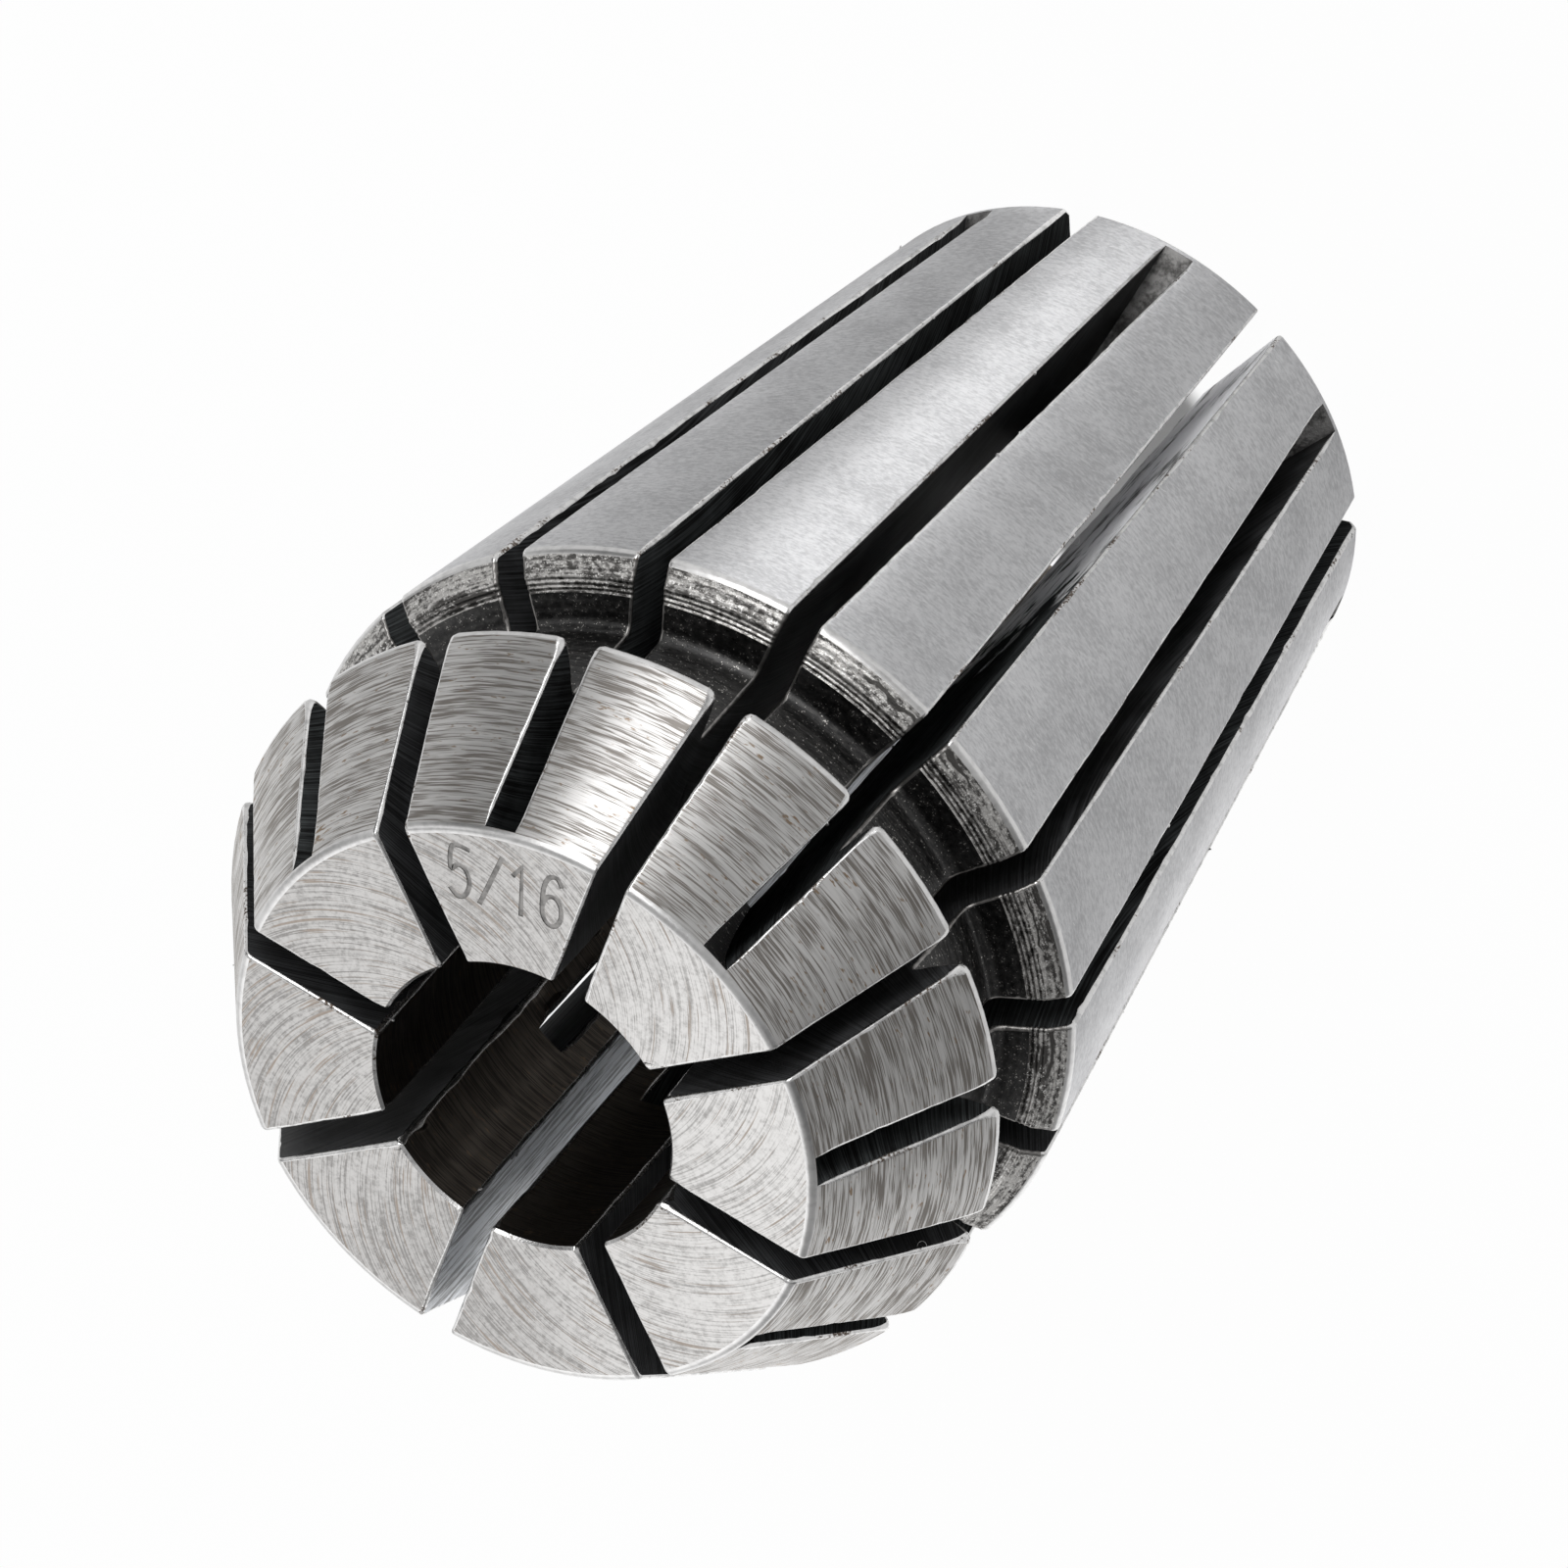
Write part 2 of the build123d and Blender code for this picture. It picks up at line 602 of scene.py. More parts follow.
@dataclass
class HalfPetal:
    """Half a petal, from the middle of a nose slot to the middle of the next tail slot."""

    section: Section
    edge_rounding: float = 0.07
    corner_rounding: float = 0.24
    corner_reach: float = 0.45
    edge_taper: float = 0.5
    edge_steps: int = 3
    skin_steps: int = 5
    web_steps: int = 3
    rim_steps: int = 18
    border_share: float = 0.2
    rim_tolerance: float = 1e-6
    sharp_angle: float = math.radians(35)

    def build(self) -> bpy.types.Object:
        """Makes the mesh, with its surfaces and the pull of its edges as attributes.

        Returns:
            An object with the half petal's mesh, in metres.
        """
        self.sizes = self.section.sizes
        self.half_slot = self.sizes.slot_width / 2
        self.mesh = bmesh.new()
        self.surface = self.mesh.faces.layers.int.new("surface")
        self.pull = self.mesh.verts.layers.float_vector.new("edge_pull")
        self.opened = {side: self._openings(side) for side in Side}
        rows = [self._row(index) for index in range(len(self.section.stations))]
        self._skin(rows)
        for side in Side:
            self._slot(side, rows)
        self._finish_edges()
        data = bpy.data.meshes.new("half_petal")
        self.mesh.to_mesh(data)
        self.mesh.free()
        return linked("half_petal", data)

    def _openings(self, side: Side) -> list[float]:
        """Measures how far along the section each station lies from the end of a side's slot.

        Args:
            side: The slot.

        Returns:
            The way from the slot's end at each station, and 0 in its web.
        """
        stations = self.section.stations
        cut = self.section.cuts[side]
        depths = [cut.depth(s.radius, s.height) for s in stations]
        first, last = stations[0], stations[-1]
        total = last.travel + math.dist((last.radius, last.height), (first.radius, first.height))
        ends = [s.travel for s, depth in zip(stations, depths) if abs(depth) <= self.rim_tolerance]
        found = []
        for station, depth in zip(stations, depths):
            ways = [abs(station.travel - end) for end in ends]
            nearest = min(min(way, total - way) for way in ways)
            found.append(nearest if depth > self.rim_tolerance else 0.0)
        return found

    def _rounding(self, index: int, side: Side) -> float:
        """Works out how round a slot's edge is at a station.

        Args:
            index: The station's number.
            side: The slot.

        Returns:
            The edge's radius: none in the web, more at the collar's corner.
        """
        reach = self.opened[side][index]
        if not reach:
            return 0.0
        station = self.section.stations[index]
        away = math.hypot(station.radius - self.sizes.cone_radius, station.height - self.sizes.collar_back)
        worn = self.edge_rounding
        worn += (self.corner_rounding - self.edge_rounding) * math.exp(-((away / self.corner_reach) ** 2))
        return worn * min(1.0, reach / self.edge_taper)

    def _vertex(
        self, radius: float, azimuth: float, height: float, pull: tuple[float, float, float] = (0, 0, 0)
    ) -> bmesh.types.BMVert:
        """Adds a vertex at a place round the axis.

        Args:
            radius: Its distance from the axis.
            azimuth: Its turn round the axis, in radians.
            height: Its height.
            pull: Where wear moves it: out, round the axis and up, each for a depth of one.

        Returns:
            The vertex.
        """
        place = Vector((radius * math.cos(azimuth), radius * math.sin(azimuth), height))
        made = self.mesh.verts.new(place * MM)
        made[self.pull] = pull
        return made

    def _azimuth(self, radius: float, across: float, side: Side) -> float:
        """Azimuth of a point that lies across from a slot's wall, on the petal's side of it."""
        turn = math.asin((self.half_slot + across) / radius)
        return turn if side is Side.NOSE_SLOT else self.sizes.half_pitch - turn

    def _edge(self, index: int, side: Side) -> list[bmesh.types.BMVert]:
        """Rounds one slot's edge at a station.

        Args:
            index: The station's number.
            side: The slot.

        Returns:
            The vertices of the round, from the skin to the wall.
        """
        station = self.section.stations[index]
        size = self._rounding(index, side)
        if not size:
            corner = self._vertex(station.radius, self._azimuth(station.radius, 0, side), station.height)
            return [corner] * (self.edge_steps + 1)
        taper = min(1.0, self.opened[side][index] / self.edge_taper)
        made = []
        for step in range(self.edge_steps + 1):
            turn = math.pi / 2 * step / self.edge_steps
            out, across = -(1 - math.cos(turn)), 1 - math.sin(turn)
            radius = station.radius + size * out * station.normal[0]
            height = station.height + size * out * station.normal[1]
            pull = (out * station.normal[0] * taper, side * across * taper, out * station.normal[1] * taper)
            made.append(self._vertex(radius, self._azimuth(radius, size * across, side), height, pull))
        return made

    def _row(self, index: int) -> dict[str, list[bmesh.types.BMVert]]:
        """Adds the vertices of one station, other than those of the saw's round.

        Args:
            index: The station's number.

        Returns:
            The vertices by part, each part and its vertices in the order of growing azimuth.
        """
        station = self.section.stations[index]
        first, last = (self._edge(index, side) for side in Side)
        start, end = (self._azimuth(station.radius, self._rounding(index, side), side) for side in Side)
        span = end - start
        beside = min(self.border_share, self.section.support_gap / (station.radius * span))
        shares = [beside] + [step / self.skin_steps for step in range(1, self.skin_steps)] + [1 - beside]
        skin = []
        for place, share in enumerate(shares):
            pull = (0, 0, 0)
            if place == 0:
                pull = first[0][self.pull].copy()
            if place == len(shares) - 1:
                pull = last[0][self.pull].copy()
            skin.append(self._vertex(station.radius, start + share * span, station.height, pull))
        webs = {side: [] for side in Side}
        for side in Side:
            if not self.opened[side][index]:
                corner = self._azimuth(station.radius, 0, side)
                middle = 0.0 if side is Side.NOSE_SLOT else self.sizes.half_pitch
                steps = [step / self.web_steps for step in range(self.web_steps)]
                turns = [middle + (corner - middle) * step for step in steps]
                webs[side] = [self._vertex(station.radius, turn, station.height) for turn in turns]
        return {
            "web_a": webs[Side.NOSE_SLOT],
            "edge_a": first[::-1],
            "skin": skin,
            "edge_b": last,
            "web_b": webs[Side.TAIL_SLOT][::-1],
        }

    def _face(self, corners: list[bmesh.types.BMVert], surface: Surface, smooth: bool = True) -> None:
        """Adds a face, without the corners that have run together.

        Args:
            corners: The face's vertices.
            surface: The surface that it belongs to.
            smooth: Whether it is shaded as part of a round form.
        """
        kept = [v for v, before in zip(corners, corners[-1:] + corners[:-1]) if v is not before]
        if len(set(kept)) >= 3:
            made = self.mesh.faces.new(kept)
            made[self.surface] = surface
            made.smooth = smooth

    def _strip(self, low: list, high: list, surface: Surface) -> None:
        """Adds the faces between two lines of vertices that run with growing azimuth."""
        for step in range(len(low) - 1):
            self._face([low[step], low[step + 1], high[step + 1], high[step]], surface)

    def _skin(self, rows: list[dict]) -> None:
        """Adds the turned surfaces, the rounds of the slots' edges and the webs.

        Args:
            rows: The vertices of each station.
        """
        for index, row in enumerate(rows):
            after = rows[(index + 1) % len(rows)]
            surface = self.section.stations[index].surface
            here, ahead = (line["edge_a"][-1:] + line["skin"] + line["edge_b"][:1] for line in (row, after))
            self._strip(here, ahead, surface)
            edge = Surface.DULL_EDGE if surface in (Surface.SHOULDER, Surface.GROOVE) else Surface.EDGE
            for part in ("edge_a", "edge_b"):
                self._strip(row[part], after[part], edge)
            if row["web_a"] and after["web_a"]:
                here, ahead = (line["web_a"] + line["edge_a"][:1] for line in (row, after))
                self._strip(here, ahead, surface)
            if row["web_b"] and after["web_b"]:
                here, ahead = (line["edge_b"][-1:] + line["web_b"] for line in (row, after))
                self._strip(here, ahead, surface)

    def _slot(self, side: Side, rows: list[dict]) -> None:
        """Adds one slot's wall and half of the round that the saw leaves at its closed end.

        Args:
            side: The slot.
            rows: The vertices of each station.
        """
        count = len(rows)
        opened = self.opened[side]
        start = next(i for i in range(count) if not opened[i] and opened[(i + 1) % count])
        run = [start]
        while opened[(run[-1] + 1) % count]:
            run.append((run[-1] + 1) % count)
        run.append((run[-1] + 1) % count)
        web, edge, corner = ("web_a", "edge_a", 0) if side is Side.NOSE_SLOT else ("web_b", "edge_b", -1)
        lines = self._rim(side, rows[run[0]], rows[run[-1]], web, edge, corner)
        wall = [rows[index][edge][corner] for index in run]
        rim = [line[corner - 1 if corner == 0 else 0] for line in lines]
        outline = wall + (rim[1:-1] if wall[-1] is rim[0] else rim[-2:0:-1])
        if side is Side.TAIL_SLOT:
            outline.reverse()
        surface = Surface.NOSE_SAW_WALL if side is Side.NOSE_SLOT else Surface.TAIL_SAW_WALL
        self._face(outline, surface, smooth=False)

    def _rim(self, side: Side, first: dict, last: dict, web: str, edge: str, corner: int) -> list[list]:
        """Adds the saw's round between the two ends of a slot.

        Args:
            side: The slot.
            first: The row where the slot starts on the section.
            last: The row where it ends.
            web: The name of the rows' web part.
            edge: The name of the rows' edge part.
            corner: The place of the wall's vertex in the edge part.

        Returns:
            The lines of vertices across the round, from the row nearer to the axis outwards.
        """
        cut = self.section.cuts[side]
        ends = []
        for row in (first, last):
            end = [row[edge][corner]]
            ends.append(row[web] + end if side is Side.NOSE_SLOT else end + row[web])
        ends.sort(key=lambda line: line[0].co.xy.length)
        reach = [sum(v.co.xy.length for v in line) / len(line) / MM for line in ends]
        lines = [ends[0]]
        for step in range(1, self.rim_steps):
            along = reach[0] + (reach[1] - reach[0]) * step / self.rim_steps
            line = []
            for place in range(self.web_steps + 1):
                across = self.half_slot * place / self.web_steps
                if side is Side.TAIL_SLOT:
                    across = self.half_slot - across
                radius = math.hypot(along, across)
                turn = math.atan2(across, along)
                azimuth = turn if side is Side.NOSE_SLOT else self.sizes.half_pitch - turn
                line.append(self._vertex(radius, azimuth, cut.rim_height(along)))
            lines.append(line)
        lines.append(ends[1])
        for inner, outer in zip(lines, lines[1:]):
            if side is Side.NOSE_SLOT:
                self._strip(outer, inner, Surface.SAW_ROUND)
            else:
                self._strip(inner, outer, Surface.SAW_ROUND)
        return lines

    def _finish_edges(self) -> None:
        """Cuts the walls into triangles and marks the creases sharp."""
        self.mesh.normal_update()
        walls = [face for face in self.mesh.faces if not face.smooth]
        bmesh.ops.triangulate(self.mesh, faces=walls)
        self.mesh.normal_update()
        for edge in self.mesh.edges:
            edge.smooth = len(edge.link_faces) != 2 or edge.calc_face_angle(0.0) < self.sharp_angle


@dataclass
class PetalRing:
    """Geometry nodes that make the whole collet from half a petal."""

    slots_per_end: int
    bore_radius: float
    weld: float = 0.001
    worn_depth: float = 0.03
    worn_size: float = 3.0
    worn_share: tuple[float, float] = (0.45, 0.65)
    chip_depth: float = 0.05
    chip_size: float = 0.22
    chip_share: tuple[float, float] = (0.55, 0.75)
    bore_reach: tuple[float, float] = (1.05, 1.2)
    bore_wear: float = 1.5
    seed: float = 4.0

    def build(self, half: bpy.types.Object, name: str, finishes: dict) -> bpy.types.Object:
        """Makes the collet.

        Args:
            half: The half petal, which is used up.
            name: The new piece's name.
            finishes: The material of each surface.

        Returns:
            The collet as a plain mesh, with no modifier.
        """
        inputs = {
            "Slots per end": ("NodeSocketInt", self.slots_per_end),
            "Weld distance": ("NodeSocketFloat", self.weld * MM),
            "Worn depth": ("NodeSocketFloat", self.worn_depth * MM),
            "Worn size": ("NodeSocketFloat", self.worn_size * MM),
            "Chip depth": ("NodeSocketFloat", self.chip_depth * MM),
            "Chip size": ("NodeSocketFloat", self.chip_size * MM),
            "Bore radius": ("NodeSocketFloat", self.bore_radius * MM),
            "Seed": ("NodeSocketFloat", self.seed),
        }

        def fill(graph: Graph, given: object) -> bpy.types.NodeSocket:
            """The whole collet, repeated, worn and painted."""
            whole = self._wear(graph, given, self._repeat(graph, given))
            for surface, material in finishes.items():
                whole = self._paint(graph, whole, surface, material)
            return whole

        half.data.materials.append(next(iter(finishes.values())))
        return grown(half, name, inputs, fill)

    @staticmethod
    def _repeat(graph: Graph, given: object) -> bpy.types.NodeSocket:
        """Mirrors the half petal, repeats the pair round the axis and welds the lot.

        Args:
            graph: The node tree.
            given: The group's inputs.

        Returns:
            The whole collet.
        """
        half = given["Geometry"]
        vectors = {"data_type": "FLOAT_VECTOR"}
        pull = graph.node("GeometryNodeInputNamedAttribute", vectors, {"Name": "edge_pull"})
        turned = graph.node("GeometryNodeTransform", None, {"Geometry": half, "Scale": (1, -1, 1)})
        turned = graph.node("GeometryNodeFlipFaces", None, {"Mesh": turned.outputs[0]})
        other_way = graph.vector("MULTIPLY", pull.outputs[0], (1, -1, 1))
        turned = graph.node(
            "GeometryNodeStoreNamedAttribute",
            {"data_type": "FLOAT_VECTOR", "domain": "POINT"},
            {"Geometry": turned.outputs[0], "Name": "edge_pull", "Value": other_way},
        )
        pair = graph.node("GeometryNodeJoinGeometry")
        graph.feed(pair.inputs[0], half)
        graph.feed(pair.inputs[0], turned.outputs[0])
        count = given["Slots per end"]
        points = graph.node("GeometryNodePoints", None, {"Count": count})
        index = Value(graph, graph.node("GeometryNodeInputIndex").outputs[0])
        turn = index * (2 * math.pi) / Value(graph, count)
        angle = graph.node("FunctionNodeEulerToRotation", None, {0: graph.combine(0, 0, turn)})
        ring = graph.node(
            "GeometryNodeInstanceOnPoints",
            None,
            {"Points": points.outputs[0], "Instance": pair.outputs[0], "Rotation": angle.outputs[0]},
        )
        ring = graph.node("GeometryNodeRealizeInstances", None, {0: ring.outputs[0]})
        welding = {"Geometry": ring.outputs[0], "Distance": given["Weld distance"]}
        return graph.node("GeometryNodeMergeByDistance", None, welding).outputs[0]

    def _wear(self, graph: Graph, given: object, whole: bpy.types.NodeSocket) -> bpy.types.NodeSocket:
        """Rounds the slots' edges unevenly, by the pull that each vertex carries.

        Args:
            graph: The node tree.
            given: The group's inputs.
            whole: The collet with its edges evenly round.

        Returns:
            The worn collet.
        """
        place = graph.node("GeometryNodeInputPosition").outputs[0]
        vectors = {"data_type": "FLOAT_VECTOR"}
        pull = graph.node("GeometryNodeInputNamedAttribute", vectors, {"Name": "edge_pull"})
        out, around, up = graph.split(pull.outputs[0])
        away = graph.vector("NORMALIZE", graph.vector("MULTIPLY", place, (1, 1, 0)))
        sideways = graph.vector("CROSS_PRODUCT", (0, 0, 1), away)
        push = graph.vector("ADD", graph.scaled(away, out), graph.scaled(sideways, around))
        push = graph.vector("ADD", push, graph.combine(0, 0, up))

        def patches(size: str, share: tuple[float, float]) -> Value:
            """Worn patches of a given size, from the share of the noise where they start and are full."""
            there = graph.scaled(place, 1 / Value(graph, given[size]))
            shifted = graph.vector("ADD", there, graph.combine(Value(graph, given["Seed"]), 0, 0))
            return graph.step(graph.noise(shifted, 1.0), *share)

        amount = patches("Worn size", self.worn_share) * Value(graph, given["Worn depth"])
        amount = amount + patches("Chip size", self.chip_share) * Value(graph, given["Chip depth"])
        beyond = graph.length(graph.vector("MULTIPLY", place, (1, 1, 0))) / Value(graph, given["Bore radius"])
        amount = amount * (1 + (1 - graph.step(beyond, *self.bore_reach)) * self.bore_wear)
        moving = {"Geometry": whole, "Offset": graph.scaled(push, amount)}
        return graph.node("GeometryNodeSetPosition", None, moving).outputs[0]

    @staticmethod
    def _paint(
        graph: Graph, whole: bpy.types.NodeSocket, surface: Surface, material: bpy.types.Material
    ) -> bpy.types.NodeSocket:
        """Gives the faces of one surface their material.

        Args:
            graph: The node tree.
            whole: The collet.
            surface: The surface.
            material: Its material.

        Returns:
            The collet with that surface painted.
        """
        painting = {"Geometry": whole, "Selection": graph.in_surface(surface), "Material": material}
        return graph.node("GeometryNodeSetMaterial", None, painting).outputs[0]


@dataclass
class SawBurrs:
    """Crumbs and curled fibres that the saw left on the slots' edges, strewn by geometry nodes."""

    material: bpy.types.Material
    crumbs_per_mm2: float = 0.5
    crumb_size: float = 0.055
    crumb_stretch: tuple[float, float] = (0.3, 1.5)
    fibres_per_mm2: float = 0.07
    fibre_curl: float = 0.24
    fibre_sweep: float = 150.0
    fibre_steps: int = 9
    fibre_sides: int = 3
    fibre_thickness: float = 0.013
    fibre_stretch: tuple[float, float] = (0.4, 1.1)
    keep_radius: float = 10.0
    keep_heights: tuple[float, float] = (0.5, 31.0)
    seed: int = 11

    def build(self, collet: bpy.types.Object) -> bpy.types.Object:
        """Strews the burrs.

        Args:
            collet: The dressed collet, whose faces still carry their surface's number.

        Returns:
            The burrs as one plain mesh.
        """
        inputs = {
            "Crumbs": ("NodeSocketFloat", self.crumbs_per_mm2 / MM**2),
            "Fibres": ("NodeSocketFloat", self.fibres_per_mm2 / MM**2),
            "Seed": ("NodeSocketInt", self.seed),
        }
        return grown(linked("burr_host", collet.data.copy()), "saw_burrs", inputs, self._fill)

    def _fill(self, graph: Graph, given: object) -> bpy.types.NodeSocket:
        """Adds the nodes that shape and strew the burrs.

        Args:
            graph: The node tree.
            given: The group's inputs.

        Returns:
            The burrs.
        """
        ball = {"Radius": self.crumb_size * MM, "Subdivisions": 1}
        crumb = graph.node("GeometryNodeMeshIcoSphere", None, ball)
        bow = {
            "Resolution": self.fibre_steps, "Radius": self.fibre_curl * MM,
            "Sweep Angle": math.radians(self.fibre_sweep),
        }
        arc = graph.node("GeometryNodeCurveArc", None, bow)
        ring = {"Resolution": self.fibre_sides, "Radius": self.fibre_thickness * MM}
        profile = graph.node("GeometryNodeCurvePrimitiveCircle", None, ring)
        sweep = {0: arc.outputs[0], 1: profile.outputs[0], "Fill Caps": True}
        fibre = graph.node("GeometryNodeCurveToMesh", None, sweep)
        both = graph.node("GeometryNodeJoinGeometry")
        graph.feed(both.inputs[0], self._strewn(graph, given, "Crumbs", crumb.outputs[0], self.crumb_stretch))
        graph.feed(both.inputs[0], self._strewn(graph, given, "Fibres", fibre.outputs[0], self.fibre_stretch))
        real = graph.node("GeometryNodeRealizeInstances", None, {0: both.outputs[0]})
        painting = {"Geometry": real.outputs[0], "Material": self.material}
        return graph.node("GeometryNodeSetMaterial", None, painting).outputs[0]

    def _strewn(
        self, graph: Graph, given: object, density: str, shape: object, stretch: tuple[float, float]
    ) -> bpy.types.NodeSocket:
        """Puts copies of one shape on the slots' edges, each turned and stretched in its own way.

        Args:
            graph: The node tree.
            given: The group's inputs.
            density: The name of the input that says how many there are.
            shape: The shape.
            stretch: The least and the most that a copy's sides are stretched.

        Returns:
            The copies, as instances.
        """
        place = graph.node("GeometryNodeInputPosition").outputs[0]
        height = graph.split(place)[2]
        radius = graph.length(graph.vector("MULTIPLY", place, (1, 1, 0)))
        inside = graph.math("LESS_THAN", radius, self.keep_radius * MM)
        inside = inside * graph.math("GREATER_THAN", height, self.keep_heights[0] * MM)
        inside = inside * graph.math("LESS_THAN", height, self.keep_heights[1] * MM)
        kept = inside * Value(graph, graph.in_surface(Surface.EDGE))
        points = graph.node(
            "GeometryNodeDistributePointsOnFaces", None,
            {"Mesh": given["Geometry"], "Selection": kept, "Density": given[density], "Seed": given["Seed"]},
        )
        turn = graph.node(
            "FunctionNodeRandomValue", {"data_type": "FLOAT_VECTOR"},
            {0: (0, 0, 0), 1: (2 * math.pi,) * 3, "Seed": given["Seed"]},
        )
        size = graph.node(
            "FunctionNodeRandomValue", {"data_type": "FLOAT_VECTOR"},
            {0: (stretch[0],) * 3, 1: (stretch[1],) * 3, "Seed": given["Seed"]},
        )
        copying = {"Points": points.outputs[0], "Instance": shape, "Rotation": turn.outputs[0]}
        copying["Scale"] = size.outputs[0]
        return graph.node("GeometryNodeInstanceOnPoints", None, copying).outputs[0]


@dataclass
class BoreNumber:
    """The bore's size in plain numerals, cut shallowly into the nose face."""

    face_height: float
    material: bpy.types.Material
    azimuth: float = 292.5
    tilt: float = 6.0
    start: tuple[float, float] = (-1.47, 5.74)
    cap_height: float = 1.42
    cap_width: float = 0.58
    lefts: tuple[float, ...] = (0.0, 0.82, 1.63, 2.44)
    ring_points: int = 12
    stroke: float = 0.13
    depth: float = 0.02
    curve_steps: int = 5
    least_mitre: float = 0.5

    def cut(self, collet: bpy.types.Object) -> None:
        """Cuts the numerals out of the nose face, stroke by stroke."""
        for stroke, closed in self._strokes():
            self._cut_stroke(collet, self._smooth(stroke, closed) if len(stroke) > 3 else stroke, closed)

    def _strokes(self) -> list[tuple[list[Vector], bool]]:
        """Draws the numerals, on a grid as wide and as high as one of them.

        Returns:
            The middle line of each stroke, from the first numeral's foot, and whether it closes.
        """
        five = [
            (0.92, 1), (0.12, 1), (0.06, 0.54), (0.4, 0.64), (0.76, 0.56), (0.94, 0.32), (0.76, 0.07),
            (0.4, 0), (0.04, 0.14),
        ]
        slash = [(0, -0.02), (1, 1.08)]
        one = [(0.08, 0.76), (0.5, 1), (0.5, 0)]
        hook = [(0.94, 0.84), (0.72, 1), (0.36, 0.97), (0.12, 0.74), (0.05, 0.36)]
        turns = [2 * math.pi * step / self.ring_points for step in range(self.ring_points)]
        ring = [(0.5 + 0.44 * math.cos(turn), 0.3 + 0.3 * math.sin(turn)) for turn in turns]
        first, second, third, fourth = self.lefts
        placed = [
            (five, first, False), (slash, second, False), (one, third, False), (hook, fourth, False),
            (ring, fourth, True),
        ]
        return [
            ([Vector((left + x * self.cap_width, y * self.cap_height)) for x, y in line], closed)
            for line, left, closed in placed
        ]

    def _smooth(self, line: list[Vector], closed: bool) -> list[Vector]:
        """Rounds a line by curves through its points.

        Args:
            line: The points.
            closed: Whether the last joins the first.

        Returns:
            The points of the curves.
        """
        count = len(line)
        made = []
        for index in range(count if closed else count - 1):
            here, ahead = line[index], line[(index + 1) % count]
            before = line[index - 1] if closed or index else here
            beyond = line[(index + 2) % count] if closed or index + 2 < count else ahead
            for step in range(self.curve_steps):
                t = step / self.curve_steps
                bend = 2 * before - 5 * here + 4 * ahead - beyond
                twist = 3 * here - before - 3 * ahead + beyond
                made.append(0.5 * (2 * here + (ahead - before) * t + bend * t**2 + twist * t**3))
        return made if closed else made + [line[-1]]

    def _sides(self, line: list[Vector], closed: bool) -> list[tuple[Vector, Vector]]:
        """Finds the points on either side of a line, half a stroke away.

        Args:
            line: The line's points.
            closed: Whether the last joins the first.

        Returns:
            The left and the right point beside each point.
        """
        count = len(line)
        pairs = []
        for index, here in enumerate(line):
            before = line[index - 1] if closed or index else here
            beyond = line[(index + 1) % count] if closed or index + 1 < count else here
            arriving, leaving = (here - before).normalized(), (beyond - here).normalized()
            along = (arriving + leaving).normalized()
            aside = Vector((-along.y, along.x))
            stretch = 1 / max(self.least_mitre, along.dot(leaving if leaving.length else arriving))
            reach = aside * self.stroke / 2 * stretch
            pairs.append((here + reach, here - reach))
        return pairs

    def _place(self, point: Vector, height: float) -> Vector:
        """Places a point of the numerals on the collet.

        Args:
            point: The point, from the first numeral's foot.
            height: Its height over the nose face.

        Returns:
            Its place in metres.
        """
        turn, lean = math.radians(self.azimuth), math.radians(self.tilt)
        across = self.start[0] + point.x * math.cos(lean) + point.y * math.sin(lean)
        out = self.start[1] - point.x * math.sin(lean) + point.y * math.cos(lean)
        outward = Vector((math.cos(turn), math.sin(turn), 0))
        reading = Vector((math.sin(turn), -math.cos(turn), 0))
        return (outward * out + reading * across + Vector((0, 0, self.face_height + height))) * MM

    def _cut_stroke(self, collet: bpy.types.Object, line: list[Vector], closed: bool) -> None:
        """Makes one stroke a thin block and takes it out of the collet.

        Args:
            collet: The collet.
            line: The stroke's middle line.
            closed: Whether it closes.
        """
        shape = bmesh.new()
        rows = []
        for left, right in self._sides(line, closed):
            corners = [(left, -self.depth), (right, -self.depth), (right, self.depth), (left, self.depth)]
            rows.append([shape.verts.new(self._place(point, height)) for point, height in corners])
        for index in range(len(rows) if closed else len(rows) - 1):
            here, ahead = rows[index], rows[(index + 1) % len(rows)]
            for side in range(4):
                after = (side + 1) % 4
                shape.faces.new([here[side], ahead[side], ahead[after], here[after]])
        if not closed:
            shape.faces.new(rows[0])
            shape.faces.new(rows[-1][::-1])
        bmesh.ops.recalc_face_normals(shape, faces=shape.faces)
        data = bpy.data.meshes.new("stroke")
        shape.to_mesh(data)
        shape.free()
        data.materials.append(self.material)
        cutter = linked("stroke", data)
        modifier = collet.modifiers.new("stroke", "BOOLEAN")
        modifier.operation, modifier.solver, modifier.object = "DIFFERENCE", "MANIFOLD", cutter
        modifier.material_mode = "TRANSFER"
        old = collet.data
        evaluated = collet.evaluated_get(bpy.context.evaluated_depsgraph_get())
        collet.data = bpy.data.meshes.new_from_object(evaluated)
        collet.modifiers.remove(modifier)
        collet.data.name = old.name.split(".")[0]
        bpy.data.meshes.remove(old)
        bpy.data.objects.remove(cutter)


